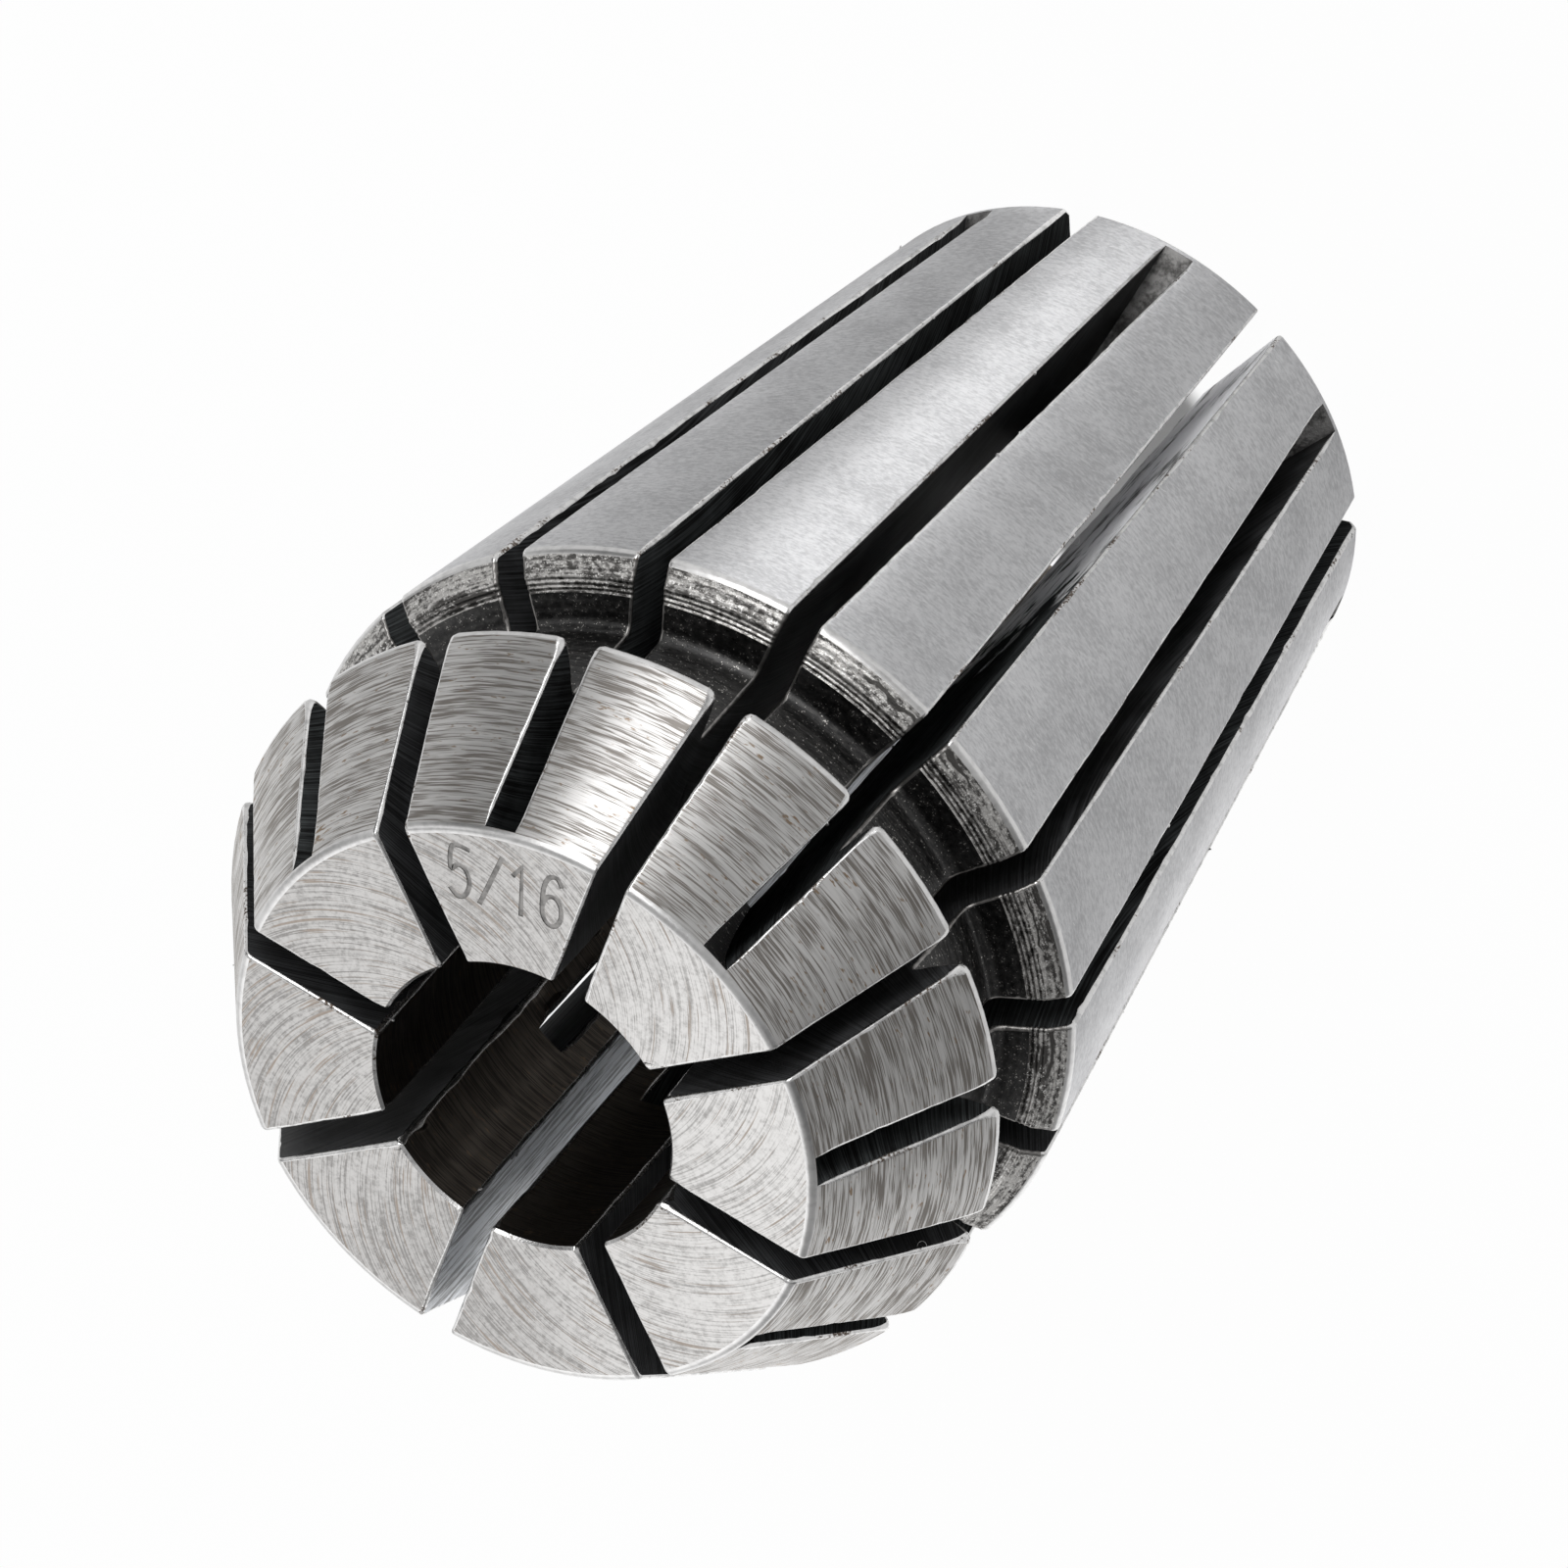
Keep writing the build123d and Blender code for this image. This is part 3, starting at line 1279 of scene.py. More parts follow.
@dataclass(frozen=True)
class Finish:
    """A plain steel finish, which the others build on.

    The gloss of fine lines round the axis spreads along the axis, which the anisotropy stands for.
    """

    name: str
    colour: Colour
    roughness: float = 0.35
    anisotropy: float = 0.0
    dull_part: float = 0.6
    gloss_turn: float = 0.25

    def material(self) -> bpy.types.Material:
        """Makes the finish's material.

        Returns:
            The material.
        """
        made = bpy.data.materials.new(self.name)
        graph = emptied(made)
        place = graph.scaled(graph.node("ShaderNodeTexCoord").outputs["Object"], 1 / MM)
        values = {
            "Base Color": (*self.colour, 1),
            "Metallic": 1.0,
            "Roughness": self.roughness,
            "Anisotropic": self.anisotropy,
            "Anisotropic Rotation": self.gloss_turn,
        }
        values.update(self.detail(graph, place))
        shader = graph.node("ShaderNodeBsdfPrincipled", None, values)
        graph.node("ShaderNodeOutputMaterial", None, {"Surface": shader.outputs[0]})
        return made

    def detail(self, graph: Graph, place: bpy.types.NodeSocket) -> dict:
        """Adds soft grain, which the others replace by what their own surface shows.

        Args:
            graph: The material's node tree.
            place: The place on the collet, in millimetres.

        Returns:
            The shader's inputs that the nodes feed.
        """
        grain = graph.noise(place, 5.0, 3.0)
        dull = tuple(part * self.dull_part for part in self.colour)
        return {
            "Base Color": self.blend(graph, graph.step(grain, 0.3, 0.6), dull, self.colour),
            "Normal": self.relief(graph, grain, 0.004),
        }

    @staticmethod
    def blend(graph: Graph, mask: object, low: object, high: object) -> bpy.types.NodeSocket:
        """Blends two colours.

        Args:
            graph: The material's node tree.
            mask: 0 for the first colour, 1 for the second.
            low: The first colour, plain or from a node.
            high: The second.

        Returns:
            The blend.
        """
        low, high = ((*c, 1) if isinstance(c, tuple) else c for c in (low, high))
        made = graph.node("ShaderNodeMix", {"data_type": "RGBA"}, {0: mask, 6: low, 7: high})
        return made.outputs[2]

    @staticmethod
    def relief(graph: Graph, height: Value, depth: float) -> bpy.types.NodeSocket:
        """A bumped normal, from a height of 0 to 1 and the depth that it stands for."""
        values = {"Strength": 1.0, "Distance": depth * MM, "Height": height}
        return graph.node("ShaderNodeBump", None, values).outputs[0]


@dataclass(frozen=True)
class TurnedFinish(Finish):
    """Steel with lines round the axis, as a lathe or a grinder leaves it."""

    dull: Colour = (0.28, 0.26, 0.24)
    stain: Colour = (0.3, 0.225, 0.16)
    line_gap: float = 0.032
    line_length: float = 1.3
    line_depth: float = 0.003
    bend: float = 0.08
    cluster_gap: float = 0.5
    cluster_length: float = 1.6
    fleck_gap: float = 0.08
    fleck_length: float = 0.35
    shaded_part: float = 0.86
    dull_share: tuple[float, float] = (0.52, 0.44)
    stain_share: tuple[float, float] = (0.6, 0.68)

    def detail(self, graph: Graph, place: bpy.types.NodeSocket) -> dict:
        """Clusters of thin dark lines, slightly bent, with brown flecks and the lines' relief.

        Args:
            graph: The material's node tree.
            place: The place on the collet, in millimetres.

        Returns:
            The shader's inputs that the nodes feed.
        """
        x, y, z = graph.split(place)
        z = z + (graph.noise(place, 0.6, 1.0) - 0.5) * self.bend

        def lines(gap: float, length: float) -> Value:
            """Noise drawn out round the axis."""
            return graph.noise(graph.combine(x / length, y / length, z / gap), 1.0, 2.0, 0.6)

        coarse = lines(self.line_gap * 2.4, self.line_length * 1.5)
        fine = lines(self.line_gap, self.line_length)
        cluster = lines(self.cluster_gap, self.cluster_length)
        mixed = fine * 0.58 + coarse * 0.2 + cluster * 0.22
        colour = tuple(part * self.shaded_part for part in self.colour)
        colour = self.blend(graph, graph.step(coarse, 0.4, 0.6), colour, self.colour)
        colour = self.blend(graph, graph.step(mixed, *self.dull_share), colour, self.dull)
        flecks = lines(self.fleck_gap, self.fleck_length) * 0.7 + cluster * 0.3
        colour = self.blend(graph, graph.step(flecks, *self.stain_share), colour, self.stain)
        rough = graph.step(mixed, *self.dull_share) * 0.1 + self.roughness
        bump = self.relief(graph, mixed, self.line_depth)
        return {"Base Color": colour, "Roughness": rough, "Normal": bump}


@dataclass(frozen=True)
class LappedFinish(Finish):
    """A fine even grain with soft clouds and a few short scratches."""

    dull: Colour = (0.52, 0.52, 0.53)
    scratch: Colour = (0.9, 0.9, 0.9)
    grain_size: float = 0.09
    grain_length: float = 0.2
    cloud_size: float = 1.6
    mean_radius: float = 9.0
    even_share: tuple[float, float] = (0.34, 0.64)
    grain_depth: float = 0.0025
    scratch_lean: float = 0.6
    scratch_length: float = 0.625
    scratch_gap: float = 0.0714
    scratch_share: tuple[float, float] = (0.73, 0.77)

    def detail(self, graph: Graph, place: bpy.types.NodeSocket) -> dict:
        """Grain a little longer round the axis, clouds, and scratches that lean to either side.

        Args:
            graph: The material's node tree.
            place: The place on the collet, in millimetres.

        Returns:
            The shader's inputs that the nodes feed.
        """
        x, y, z = graph.split(place)
        around = graph.math("ARCTAN2", y, x) * self.mean_radius
        drawn_out = graph.combine(x / self.grain_length, y / self.grain_length, z / self.grain_size)
        grain = graph.noise(drawn_out, 1.0, 3.0, 0.7)
        cloud = graph.noise(place, 1 / self.cloud_size, 3.0)

        def scratches(lean: float) -> Value:
            """Short scratches that lean from the line round the axis."""
            along, across = around + z * lean, z - around * lean
            leaning = graph.combine(along / self.scratch_length, across / self.scratch_gap, 0)
            return graph.step(graph.noise(leaning, 1.0, 1.0), *self.scratch_share)

        even = graph.step(grain * 0.7 + cloud * 0.3, *self.even_share)
        colour = self.blend(graph, even, self.dull, self.colour)
        colour = self.blend(graph, scratches(self.scratch_lean) * 0.8, colour, self.scratch)
        colour = self.blend(graph, scratches(-self.scratch_lean * 1.5) * 0.4, colour, self.dull)
        return {"Base Color": colour, "Normal": self.relief(graph, grain, self.grain_depth)}


@dataclass(frozen=True)
class EdgeFinish(Finish):
    """An edge rubbed bright, with dark grime in places."""

    grime: Colour = (0.15, 0.12, 0.1)
    grime_share: tuple[float, float] = (0.57, 0.65)
    grain_share: tuple[float, float] = (0.3, 0.55)
    shaded_part: float = 0.7
    speck_depth: float = 0.004

    def detail(self, graph: Graph, place: bpy.types.NodeSocket) -> dict:
        """Bright metal, a little uneven, with grime that comes in clusters.

        Args:
            graph: The material's node tree.
            place: The place on the collet, in millimetres.

        Returns:
            The shader's inputs that the nodes feed.
        """
        grain = graph.noise(place, 4.0, 2.0)
        speck = graph.noise(place, 14.0, 2.0)
        cluster = graph.noise(place, 0.9, 2.0)
        grimy = graph.step(speck * 0.45 + cluster * 0.55, *self.grime_share)
        shaded = tuple(part * self.shaded_part for part in self.colour)
        bright = self.blend(graph, graph.step(grain, *self.grain_share), shaded, self.colour)
        return {
            "Base Color": self.blend(graph, grimy, bright, self.grime),
            "Roughness": self.roughness + grimy * 0.3,
            "Normal": self.relief(graph, speck, self.speck_depth),
        }


@dataclass(frozen=True)
class SawnFinish(Finish):
    """A slot's wall, dark with scale, with the arcs that the saw's teeth leave as the saw sinks in.

    On the walls round one azimuth the scale gives way, up to a ragged line, to streaked metal whose brightness
    is a painted sheen for the light those walls catch.
    """

    cut: SawCut | None = None
    dull: Colour = (0.012, 0.012, 0.012)
    gloss: float = 0.08
    # Painted sheen: the bright streaked colours, and the azimuth, top and share of the walls that carry them,
    # for the light those walls catch.
    bare_and_sheen: Colour = (0.72, 0.74, 0.77)
    bare_and_sheen_dull: Colour = (0.16, 0.16, 0.16)
    bare_and_sheen_side: tuple[float, float, float] = (0.0, 1.0, 0.0)
    bare_and_sheen_top: float = 60.0
    bare_and_sheen_share: tuple[float, float] = (0.98, 0.99)
    bore_radius: float = 4.0
    torn_depth: float = 1.7
    torn_middle: float = 0.42
    patch_raggedness: float = 16.0
    streak_raggedness: float = 12.0
    arc_gap: float = 0.06
    arc_length: float = 5.0
    arc_share: tuple[float, float] = (0.4, 0.66)
    streak_gap: float = 0.22
    streak_length: float = 2.6
    streak_share: tuple[float, float] = (0.4, 0.56)
    arc_depth: float = 0.006

    def detail(self, graph: Graph, place: bpy.types.NodeSocket) -> dict:
        """Arcs of the saw's round in duller and brighter patches, and the streaked metal with its painted
        sheen.

        Args:
            graph: The material's node tree.
            place: The place on the collet, in millimetres.

        Returns:
            The shader's inputs that the nodes feed.
        """
        height = graph.split(place)[2]
        flat = graph.vector("MULTIPLY", place, (1, 1, 0))
        radius = graph.length(flat)
        along = height - self.cut.centre_height
        front = radius + graph.math("SQRT", self.cut.saw_radius**2 - along * along)
        arcs = graph.noise(graph.combine(front / self.arc_gap, along / self.arc_length, 0), 1.0, 3.0, 0.7)
        patch = graph.noise(place, 0.7, 3.0)
        arcs_seen = graph.step(arcs * 0.7 + patch * 0.3, *self.arc_share)
        scale = self.blend(graph, arcs_seen, self.dull, self.colour)
        lengthwise = graph.combine(radius / self.streak_gap, height / self.streak_length, 0)
        streaks = graph.noise(lengthwise, 1.0, 4.0, 0.7)
        metal = self.blend(graph, graph.step(streaks, *self.streak_share), self.bare_and_sheen_dull, self.bare_and_sheen)
        torn = (graph.noise(place, 1.6, 3.0, 0.65) - self.torn_middle) * self.torn_depth
        torn = torn - (radius - self.bore_radius)
        whole = 1 - graph.step(torn, -0.02, 0.02)
        # Painted sheen: walls round one azimuth, below a ragged height and away from the bore, show bright
        # streaked metal for the light they catch.
        facing = graph.step(graph.dot(graph.vector("NORMALIZE", flat), self.bare_and_sheen_side), *self.bare_and_sheen_share)
        ragged = height + (patch - 0.5) * self.patch_raggedness + (streaks - 0.5) * self.streak_raggedness
        low = 1 - graph.step(ragged, self.bare_and_sheen_top - 1, self.bare_and_sheen_top + 1)
        mask = whole * facing * low
        return {
            "Base Color": self.blend(graph, mask, scale, metal),
            "Metallic": mask,
            "Specular IOR Level": self.gloss,
            "Normal": self.relief(graph, arcs, self.arc_depth),
        }


@dataclass(frozen=True)
class RoundFinish(Finish):
    """The round that the saw leaves at a slot's end, mottled near the tail, specked near the nose."""

    dull: Colour = (0.07, 0.068, 0.066)
    deep: Colour = (0.021, 0.0204, 0.0198)
    speck: Colour = (0.75, 0.74, 0.72)
    mottle_share: tuple[float, float] = (0.36, 0.6)
    speck_share: tuple[float, float] = (0.62, 0.67)
    grain_depth: float = 0.03
    middle_height: float = 16.0

    def detail(self, graph: Graph, place: bpy.types.NodeSocket) -> dict:
        """Two looks, parted by height.

        Args:
            graph: The material's node tree.
            place: The place on the collet, in millimetres.

        Returns:
            The shader's inputs that the nodes feed.
        """
        mottle = graph.noise(place, 1.8, 4.0, 0.7)
        grains = graph.noise(place, 7.0, 3.0, 0.65)
        mottled = self.blend(graph, graph.step(mottle, *self.mottle_share), self.dull, self.colour)
        specked = self.blend(graph, graph.step(grains, *self.speck_share), self.deep, self.speck)
        near_nose = graph.step(graph.split(place)[2], self.middle_height - 1, self.middle_height + 1)
        return {
            "Base Color": self.blend(graph, near_nose, mottled, specked),
            "Normal": self.relief(graph, grains, self.grain_depth),
        }


@dataclass(frozen=True)
class SwirlFinish(Finish):
    """A flat face that a small wheel has ground, so that each scratch is an arc of the wheel's circle."""

    dull: Colour = (0.27, 0.262, 0.255)
    wheel_radius: float = 5.2
    wheel_orbit: float = 3.9
    brown: Colour = (0.3, 0.25, 0.21)
    scratch_gap: float = 0.07
    scratch_length: float = 2.2
    scratch_depth: float = 0.004
    turns_per_gap: float = 3.85
    # Painted light: the face grows darker away from this side, for how the light falls on it.
    painted_light_side: tuple[float, float, float] = (-1.15, -0.45, 0.0)
    fade: float = 8.0
    painted_shade_weight: float = 0.2
    scratch_share: tuple[float, float] = (0.46, 0.64)
    cloud_share: tuple[float, float] = (0.4, 0.7)
    deep_share: tuple[float, float] = (0.58, 0.63)
    dull_spots: tuple[tuple[tuple[float, float, float], float], ...] = (
        ((2.3, -5.6, 0.0), 0.16), ((-0.5, 6.2, 0.0), 0.22),
    )
    dull_spot_radii: tuple[float, float] = (4.2, 1.5)

    def detail(self, graph: Graph, place: bpy.types.NodeSocket) -> dict:
        """Scratches at the azimuths of the wheel's centre, cloudy grain, duller spots and a painted shade that
        grows away from one side of the face.

        Args:
            graph: The material's node tree.
            place: The place on the collet, in millimetres.

        Returns:
            The shader's inputs that the nodes feed.
        """
        x, y, _ = graph.split(place)
        flat = graph.vector("MULTIPLY", place, (1, 1, 0))
        radius = graph.length(flat)
        crossing = self.wheel_orbit**2 - self.wheel_radius**2
        share = (radius * radius + crossing) / (radius * 2 * self.wheel_orbit)
        wheel = graph.math("ARCTAN2", y, x) + graph.math("ARCCOSINE", share)
        across, along = graph.math("COSINE", wheel), graph.math("SINE", wheel)

        def scratches(gap: float, length: float, seed: float) -> Value:
            """Noise drawn out along the wheel's arcs."""
            dense = self.turns_per_gap / gap
            drawn_out = graph.combine(across * dense, along * dense, radius / length + seed)
            return graph.noise(drawn_out, 1.0, 2.0, 0.6)

        coarse = scratches(self.scratch_gap, self.scratch_length, 0.0)
        fine = scratches(self.scratch_gap * 0.6, self.scratch_length * 0.5, 40.0)
        patch = graph.noise(place, 0.8, 2.0)
        cloud = graph.noise(place, 7.0, 3.0, 0.65)
        dark = graph.step(fine * 0.8 + cloud * 0.2, *self.scratch_share) * 0.6
        dark = dark + graph.step(cloud, *self.cloud_share) * 0.25
        for centre, weight in self.dull_spots:
            away = graph.length(graph.vector("SUBTRACT", flat, centre))
            dark = dark + graph.step(away, *self.dull_spot_radii) * weight
        # Painted shade, stronger with distance from the lit side of the face.
        dark = dark + (1 - graph.dot(place, self.painted_light_side) / self.fade) * self.painted_shade_weight
        colour = self.blend(graph, dark, self.colour, self.dull)
        deep = graph.step(coarse * 0.75 + patch * 0.25, *self.deep_share)
        colour = self.blend(graph, deep * 0.8, colour, self.brown)
        height = (1 - deep) * 0.5 + fine * 0.35 + cloud * 0.15
        return {"Base Color": colour, "Normal": self.relief(graph, height, self.scratch_depth)}


@dataclass(frozen=True)
class RoughTurnedFinish(Finish):
    """Rough turned steel, ringed and mottled, with bright specks."""

    dull: Colour = (0.04, 0.04, 0.04)
    speck: Colour = (0.62, 0.6, 0.57)
    ring_gap: float = 0.06
    ring_weight: float = 0.5
    ring_share: tuple[float, float] = (0.38, 0.62)
    speck_gap: float = 0.045
    speck_share: tuple[float, float] = (0.6, 0.68)
    crack_bend: float = 0.25
    crack_share: tuple[float, float] = (0.66, 0.7)
    relief_depth: float = 0.02

    def detail(self, graph: Graph, place: bpy.types.NodeSocket) -> dict:
        """Rings round the axis, broken by mottling, and specks on them.

        Args:
            graph: The material's node tree.
            place: The place on the collet, in millimetres.

        Returns:
            The shader's inputs that the nodes feed.
        """
        x, y, z = graph.split(place)
        rings = graph.noise(graph.combine(x * 0.3, y * 0.3, z / self.ring_gap), 1.0, 2.0, 0.6)
        mottle = graph.noise(graph.combine(x * 5.0, y * 5.0, z * 14.0), 1.0, 3.0, 0.7)
        grains = graph.noise(place, 1 / self.speck_gap, 1.0)
        ringed = graph.step(rings * self.ring_weight + mottle * (1 - self.ring_weight), *self.ring_share)
        specks = graph.step(grains * 0.6 + mottle * 0.4, *self.speck_share)
        colour = self.blend(graph, ringed, self.dull, self.colour)
        colour = self.blend(graph, specks, colour, self.speck)
        bent = z + (graph.noise(place, 1.5, 2.0) - 0.5) * self.crack_bend
        cracks = graph.noise(graph.combine(x * 0.25, y * 0.25, bent * 7.0), 1.0, 1.0)
        colour = self.blend(graph, graph.step(cracks, *self.crack_share), colour, self.dull)
        rough = self.roughness + (mottle - 0.5) * 0.4
        height = rings * 0.3 + mottle * 0.4 + grains * 0.3
        bump = self.relief(graph, height, self.relief_depth)
        return {"Base Color": colour, "Roughness": rough, "Normal": bump}


@dataclass(frozen=True)
class Softbox:
    """A rectangular lamp that faces the collet."""

    name: str
    azimuth: float
    elevation: float
    width: float
    height: float
    brightness: float
    distance: float = 500.0

    def build(self, aim: Vector) -> None:
        """Adds the lamp.

        Args:
            aim: The point that it faces, in metres.
        """
        lamp = bpy.data.lights.new(self.name, "AREA")
        lamp.shape = "RECTANGLE"
        lamp.size, lamp.size_y = self.width * MM, self.height * MM
        lamp.energy = WATTS_PER_BRIGHTNESS * self.brightness * lamp.size * lamp.size_y
        made = linked(self.name, lamp)
        away = direction(self.azimuth, self.elevation)
        made.location = aim + away * self.distance * MM
        made.rotation_euler = away.to_track_quat("Z", "Y").to_euler()
        made.visible_camera = False


def direction(azimuth: float, elevation: float) -> Vector:
    """The unit vector at an azimuth from +X and an elevation, in degrees."""
    turn, rise = math.radians(azimuth), math.radians(elevation)
    return Vector((math.cos(turn) * math.cos(rise), math.sin(turn) * math.cos(rise), math.sin(rise)))


@dataclass
class Studio:
    """The pale floor, the lamps, the surroundings and the camera.

    The cones mirror what is round them, so what they see of the floor and the walls changes with the azimuth.
    Those levels, from 0 to 1, are given in pairs of azimuth and level.
    """

    shade_radius: float
    aim: tuple[float, float, float] = (0.573, 0.493, 16.328)
    view_azimuth: float = 255.344
    view_elevation: float = 47.089
    view_distance: float = 351.66
    view_roll: float = 138.403
    lens: float = 328.47
    sensor: float = 36.0
    floor_width: float = 4000.0
    floor_colour: Colour = (0.8, 0.8, 0.8)
    floor_white: float = 0.97
    floor_gap: float = 0.02
    floor_gleams: tuple[tuple[float, float], ...] = (
        (0, 0.05), (4, 0.2), (9, 1.0), (24, 0.9), (60, 0.8), (110, 0.9), (140, 0.7), (160, 0.54), (240, 0.54),
        (262, 0.36), (274, 0.12), (282, 0.2), (288, 0.8), (299, 0.88), (304, 0.78), (309, 0.55), (316, 0.22),
        (335, 0.14), (341, 0.34), (350, 0.4), (355, 0.1), (360, 0.05),
    )
    card_corner: tuple[float, float, float] = (-8.5, -0.5, 0.0)
    card_facing: float = 60.0
    card_end: float = 4.0
    card_edge: tuple[float, float] = (-1.0, 1.5)
    card_end_fade: float = 2.0
    card_gain: float = 0.25
    shade_share: float = 0.2
    shade_fade: float = 0.8
    overhead: float = 0.45
    overhead_rise: tuple[float, float] = (0.75, 0.95)
    walls: tuple[tuple[float, float], ...] = (
        (0, 1.0), (6, 0.5), (14, 0.22), (25, 0.46), (32, 0.72), (40, 1.0), (50, 0.8), (75, 0.8), (92, 1.0),
        (100, 1.0), (114, 0.46), (128, 0.36), (143, 0.34), (159, 0.34), (176, 0.16), (194, 0.12), (207, 0.18),
        (214, 0.24), (223, 0.5), (236, 0.6), (250, 0.34), (262, 0.42), (272, 0.62), (290, 0.5), (303, 0.3),
        (314, 0.1), (325, 0.03), (335, 0.08), (343, 0.4), (351, 0.62), (360, 1.0),
    )
    lamps: tuple[Softbox, ...] = (
        Softbox("back_light", 75, 48, 420, 420, 0.42),
        Softbox("side_strip", 290, 30, 225, 480, 2.5),
        Softbox("shoulder_light", 342, 46, 420, 140, 0.4),
    )

    def build(self) -> None:
        """Builds everything that isn't part of the collet."""
        self._camera()
        self._floor()
        self._world()
        for lamp in self.lamps:
            lamp.build(Vector(self.aim) * MM)
        scene = bpy.context.scene
        scene.view_settings.view_transform = "Standard"
        log.info("studio built")

    def _camera(self) -> None:
        """Places the camera by where it looks, from where, and how far it is rolled."""
        data = bpy.data.cameras.new("camera")
        data.lens, data.sensor_width = self.lens, self.sensor
        data.clip_start, data.clip_end = 0.01, 20.0
        made = linked("camera", data)
        back = direction(self.view_azimuth, self.view_elevation)
        level = Vector((0, 0, 1)).cross(back).normalized()
        up = back.cross(level)
        turned = Matrix.Rotation(-math.radians(self.view_roll), 3, back)
        right, up = turned @ level, turned @ up
        pose = Matrix((right, up, back)).transposed().to_4x4()
        pose.translation = (Vector(self.aim) + back * self.view_distance) * MM
        made.matrix_world = pose
        bpy.context.scene.camera = made

    def _floor(self) -> None:
        """A wide pale plane, nearly white to the camera, which keeps the collet's shadow.

        What the steel mirrors of it changes round the collet, with a white card on one side.
        """
        shape = bmesh.new()
        bmesh.ops.create_grid(shape, x_segments=1, y_segments=1, size=self.floor_width / 2 * MM)
        data = bpy.data.meshes.new("floor")
        shape.to_mesh(data)
        shape.free()
        data.transform(Matrix.Translation((0, 0, -self.floor_gap * MM)))
        made = linked("floor", data)
        material = bpy.data.materials.new("pale_floor")
        graph = emptied(material)
        matt = graph.node("ShaderNodeBsdfDiffuse", None, {"Color": (*self.floor_colour, 1)})
        rays = graph.node("ShaderNodeLightPath").outputs
        place = graph.node("ShaderNodeTexCoord").outputs["Object"]
        x, y, _ = graph.split(place)
        gleam = Value(graph, self._around(graph, x, y, self.floor_gleams))
        corner = graph.vector("SUBTRACT", place, tuple(part * MM for part in self.card_corner))
        inward = graph.dot(corner, direction(self.card_facing, 0)) / MM
        card = graph.step(inward, *self.card_edge)
        fade = self.card_end_fade
        card = card * (1 - graph.step(x / MM, self.card_end - fade, self.card_end + fade))
        gleam = gleam + (1 - gleam) * card
        mirrored = Value(graph, rays["Is Glossy Ray"])
        white = graph.node("ShaderNodeEmission", None, {"Strength": 1 + card * mirrored * self.card_gain})
        share = Value(graph, rays["Is Camera Ray"]) * self.floor_white
        share = share + mirrored * gleam
        away = graph.length(place) / MM
        open_sky = graph.step(away, self.shade_radius - self.shade_fade, self.shade_radius)
        share = share * (self.shade_share + open_sky * (1 - self.shade_share))
        mixed = graph.node("ShaderNodeMixShader", None, {0: share, 1: matt.outputs[0], 2: white.outputs[0]})
        graph.node("ShaderNodeOutputMaterial", None, {"Surface": mixed.outputs[0]})
        data.materials.append(material)

    def _world(self) -> None:
        """Soft light all round, brighter to some sides, which the camera sees as white."""
        world = bpy.data.worlds.new("surround")
        bpy.context.scene.world = world
        graph = emptied(world)
        x, y, z = graph.split(graph.node("ShaderNodeTexCoord").outputs["Generated"])
        around = self._around(graph, x, y, self.walls)
        above = (self.overhead, self.overhead, self.overhead, 1)
        high = graph.step(z, *self.overhead_rise)
        colour = graph.node("ShaderNodeMix", {"data_type": "RGBA"}, {0: high, 6: around, 7: above})
        soft = graph.node("ShaderNodeBackground", None, {"Color": colour.outputs[2], "Strength": 1.0})
        white = graph.node("ShaderNodeBackground", None, {"Color": (1, 1, 1, 1), "Strength": 1.0})
        seen = graph.node("ShaderNodeLightPath").outputs["Is Camera Ray"]
        mixed = graph.node("ShaderNodeMixShader", None, {0: seen, 1: soft.outputs[0], 2: white.outputs[0]})
        graph.node("ShaderNodeOutputWorld", None, {"Surface": mixed.outputs[0]})

    @staticmethod
    def _around(
        graph: Graph, x: Value, y: Value, levels: tuple[tuple[float, float], ...]
    ) -> bpy.types.NodeSocket:
        """Makes a grey that changes with the azimuth.

        Args:
            graph: The node tree.
            x: How far the place lies along X.
            y: How far it lies along Y.
            levels: Pairs of azimuth, in degrees, and level.

        Returns:
            The grey.
        """
        turn = graph.math("FRACT", graph.math("ARCTAN2", y, x) / (2 * math.pi) + 1)
        stops = [(azimuth / 360, (level, level, level, 1)) for azimuth, level in levels]
        return graph.node("ShaderNodeValToRGB", {"stops": stops}, {0: turn}).outputs[0]


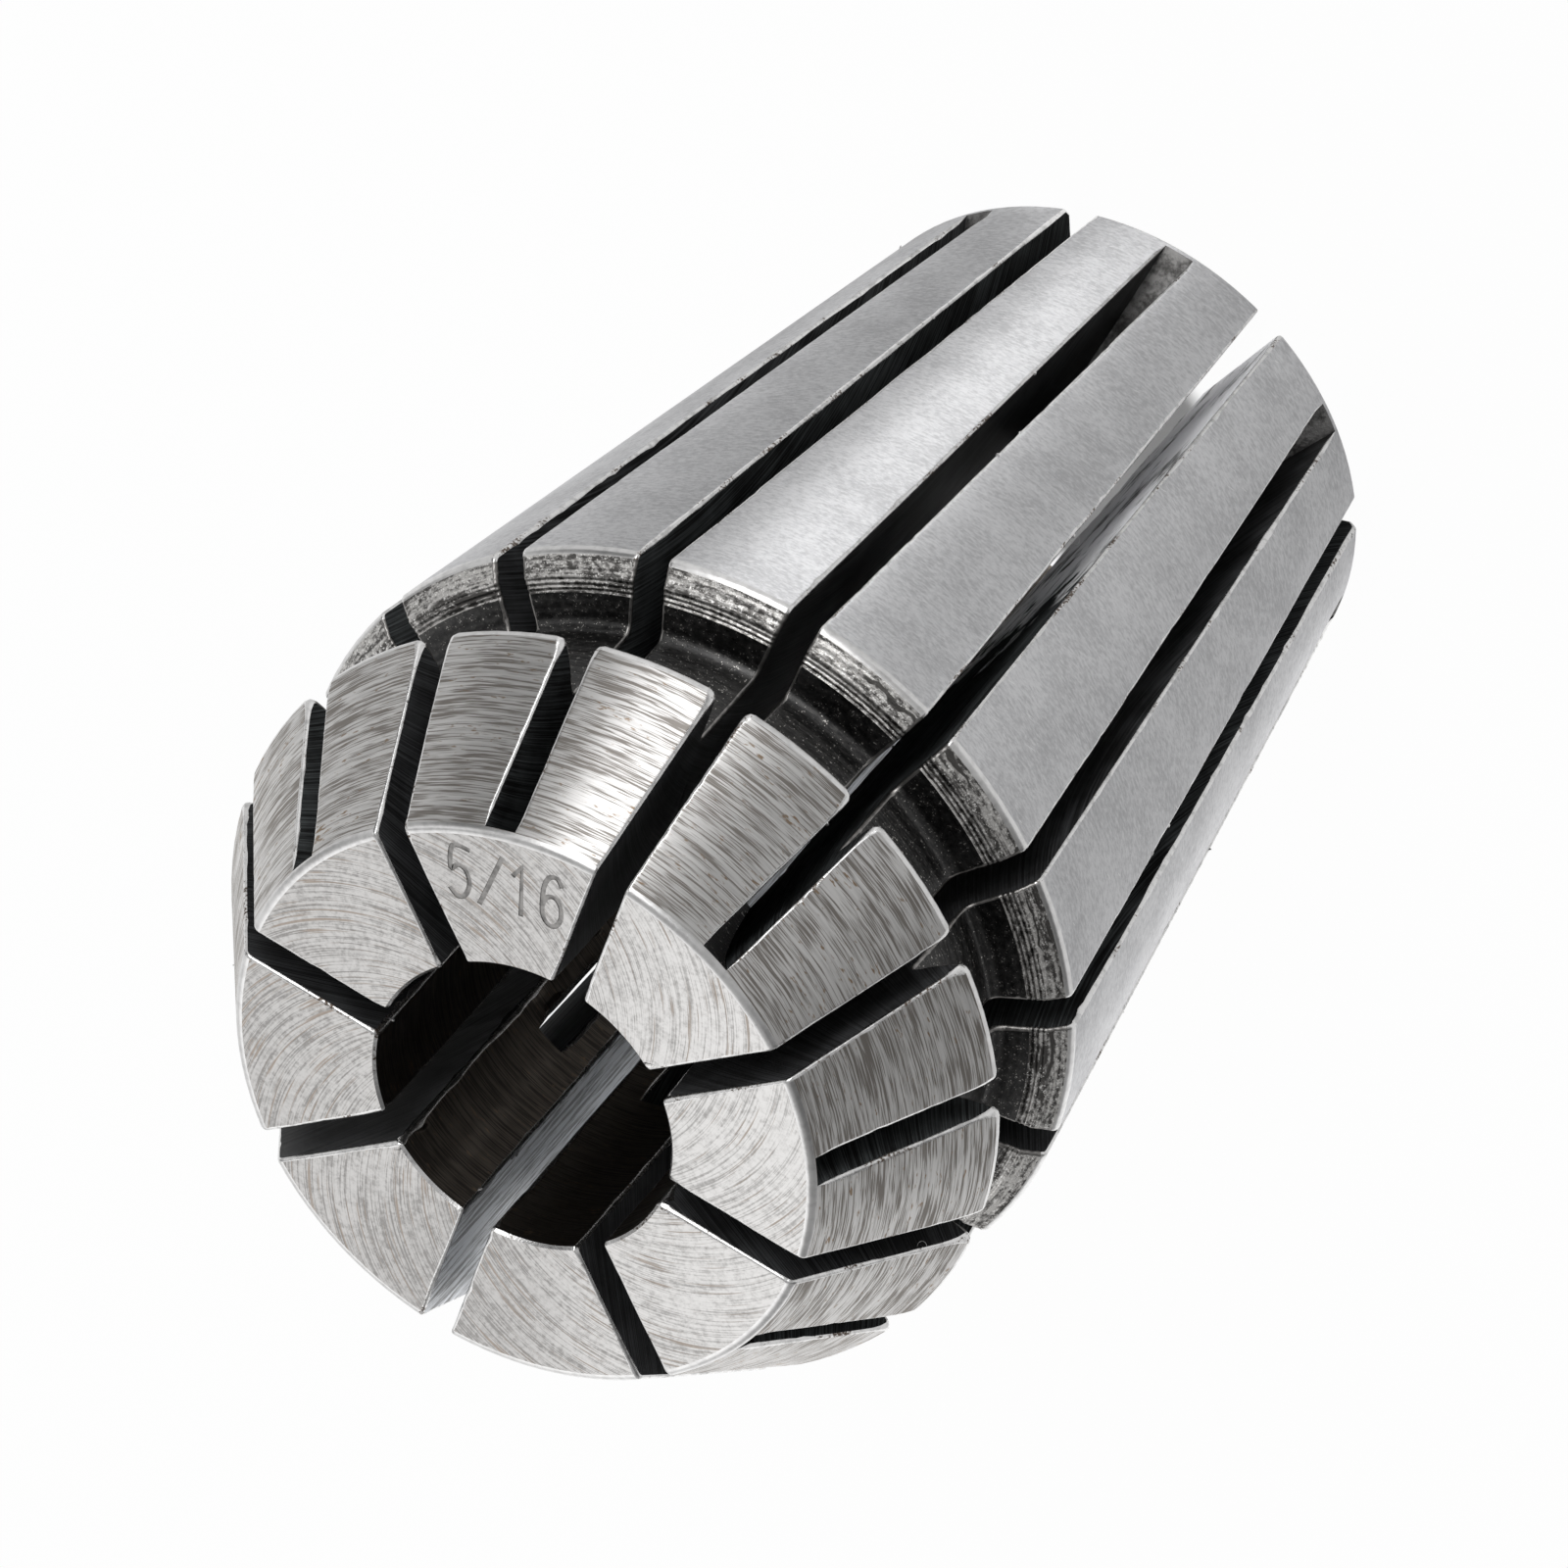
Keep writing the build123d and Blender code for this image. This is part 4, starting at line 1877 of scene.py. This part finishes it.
def steel_finishes(section: Section) -> dict[Surface, bpy.types.Material]:
    """The material of each surface.

    Args:
        section: The turned section, whose cuts the slots' walls follow.

    Returns:
        One material for each surface.
    """
    nose_saw = {"cut": section.cuts[Side.NOSE_SLOT], "bore_radius": section.sizes.bore_radius}
    tail_saw = {"cut": section.cuts[Side.TAIL_SLOT], "bore_radius": section.sizes.bore_radius}
    satin: Colour = (0.67, 0.66, 0.65)
    finishes = {
        Surface.TAIL_FACE: SwirlFinish("ground_tail_face", satin, 0.36),
        Surface.LONG_CONE: LappedFinish("ground_long_cone", (0.74, 0.74, 0.75), 0.4, 1.0),
        Surface.SHOULDER: RoughTurnedFinish(
            "rough_shoulder", (0.64, 0.625, 0.605), 0.38, dull=(0.1, 0.096, 0.092), speck=(0.88, 0.87, 0.85),
            ring_weight=0.45, ring_share=(0.42, 0.58), speck_share=(0.56, 0.62),
        ),
        Surface.GROOVE: RoughTurnedFinish(
            "groove_scale", (0.09, 0.088, 0.086), 0.35, ring_weight=0.3, ring_share=(0.35, 0.7),
            speck_share=(0.61, 0.67), crack_share=(0.7, 0.74), relief_depth=0.012,
        ),
        Surface.NOSE_CONE: TurnedFinish("ground_nose_cone", (0.68, 0.67, 0.66), 0.42, 0.9),
        Surface.NOSE_FACE: SwirlFinish("ground_nose_face", satin, 0.36),
        # The bore's dark brown colours are painted shade of the deep bore, on steel that is ground.
        Surface.BORE: TurnedFinish("ground_bore", (0.2, 0.175, 0.15), 0.3, dull=(0.085, 0.075, 0.066)),
        # The nose slots' walls round azimuth 90 carry the painted sheen along their whole length, for light
        # falling in from above.
        Surface.NOSE_SAW_WALL: SawnFinish("nose_slot_walls", (0.07, 0.072, 0.075), 0.45, **nose_saw),
        # The tail slots' walls round azimuth 247.5 carry the painted sheen up to 14 mm, for the light they
        # catch from the floor.
        Surface.TAIL_SAW_WALL: SawnFinish(
            "tail_slot_walls", (0.09, 0.098, 0.1), 0.85, **tail_saw, gloss=0.03,
            bare_and_sheen_side=(-0.38, -0.92, 0.0), bare_and_sheen=(0.95, 0.95, 0.96), bare_and_sheen_dull=(0.24, 0.24, 0.24), bare_and_sheen_top=14.0,
            torn_depth=0.5, streak_gap=0.7, streak_length=3.0, streak_share=(0.34, 0.5),
        ),
        Surface.EDGE: EdgeFinish("burnished_edge", (0.74, 0.735, 0.73), 0.25),
        Surface.DULL_EDGE: Finish("dull_edge", (0.3, 0.29, 0.28), 0.35),
        Surface.TURNED_EDGE: Finish("rubbed_edge", (0.72, 0.715, 0.71), 0.3, dull_part=0.85),
        Surface.SAW_ROUND: RoundFinish("saw_round", (0.24, 0.236, 0.232), 0.5),
        Surface.NUMBER: Finish("number_floor", (0.4, 0.39, 0.38), 0.6),
    }
    return {surface: finish.material() for surface, finish in finishes.items()}


def main() -> None:
    """Builds the collet and the studio."""
    logging.basicConfig(level=logging.INFO, format="%(name)s: %(message)s")
    sizes = ColletSizes.from_frame()
    Studio(sizes.bore_radius).build()
    section = Section(sizes)
    half = HalfPetal(section).build()
    log.info("half petal: %d stations, %d faces", len(section.stations), len(half.data.polygons))
    finishes = steel_finishes(section)
    ring = PetalRing(sizes.slots_per_end, sizes.bore_radius)
    collet = ring.build(half, "dressed_collet", finishes)
    burrs = SawBurrs(finishes[Surface.TURNED_EDGE]).build(collet)
    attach(burrs, BODY)
    log.info("saw burrs: %d faces", len(burrs.data.polygons))
    BoreNumber(sizes.length, finishes[Surface.NUMBER]).cut(collet)
    log.info("number cut: %d faces", len(collet.data.polygons))
    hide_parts(NODE)
    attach(collet, BODY)
    triangles = sum(len(face.vertices) - 2 for face in collet.data.polygons)
    log.info("collet: %d faces, %d triangles", len(collet.data.polygons), triangles)


if __name__ == "__main__":
    main()
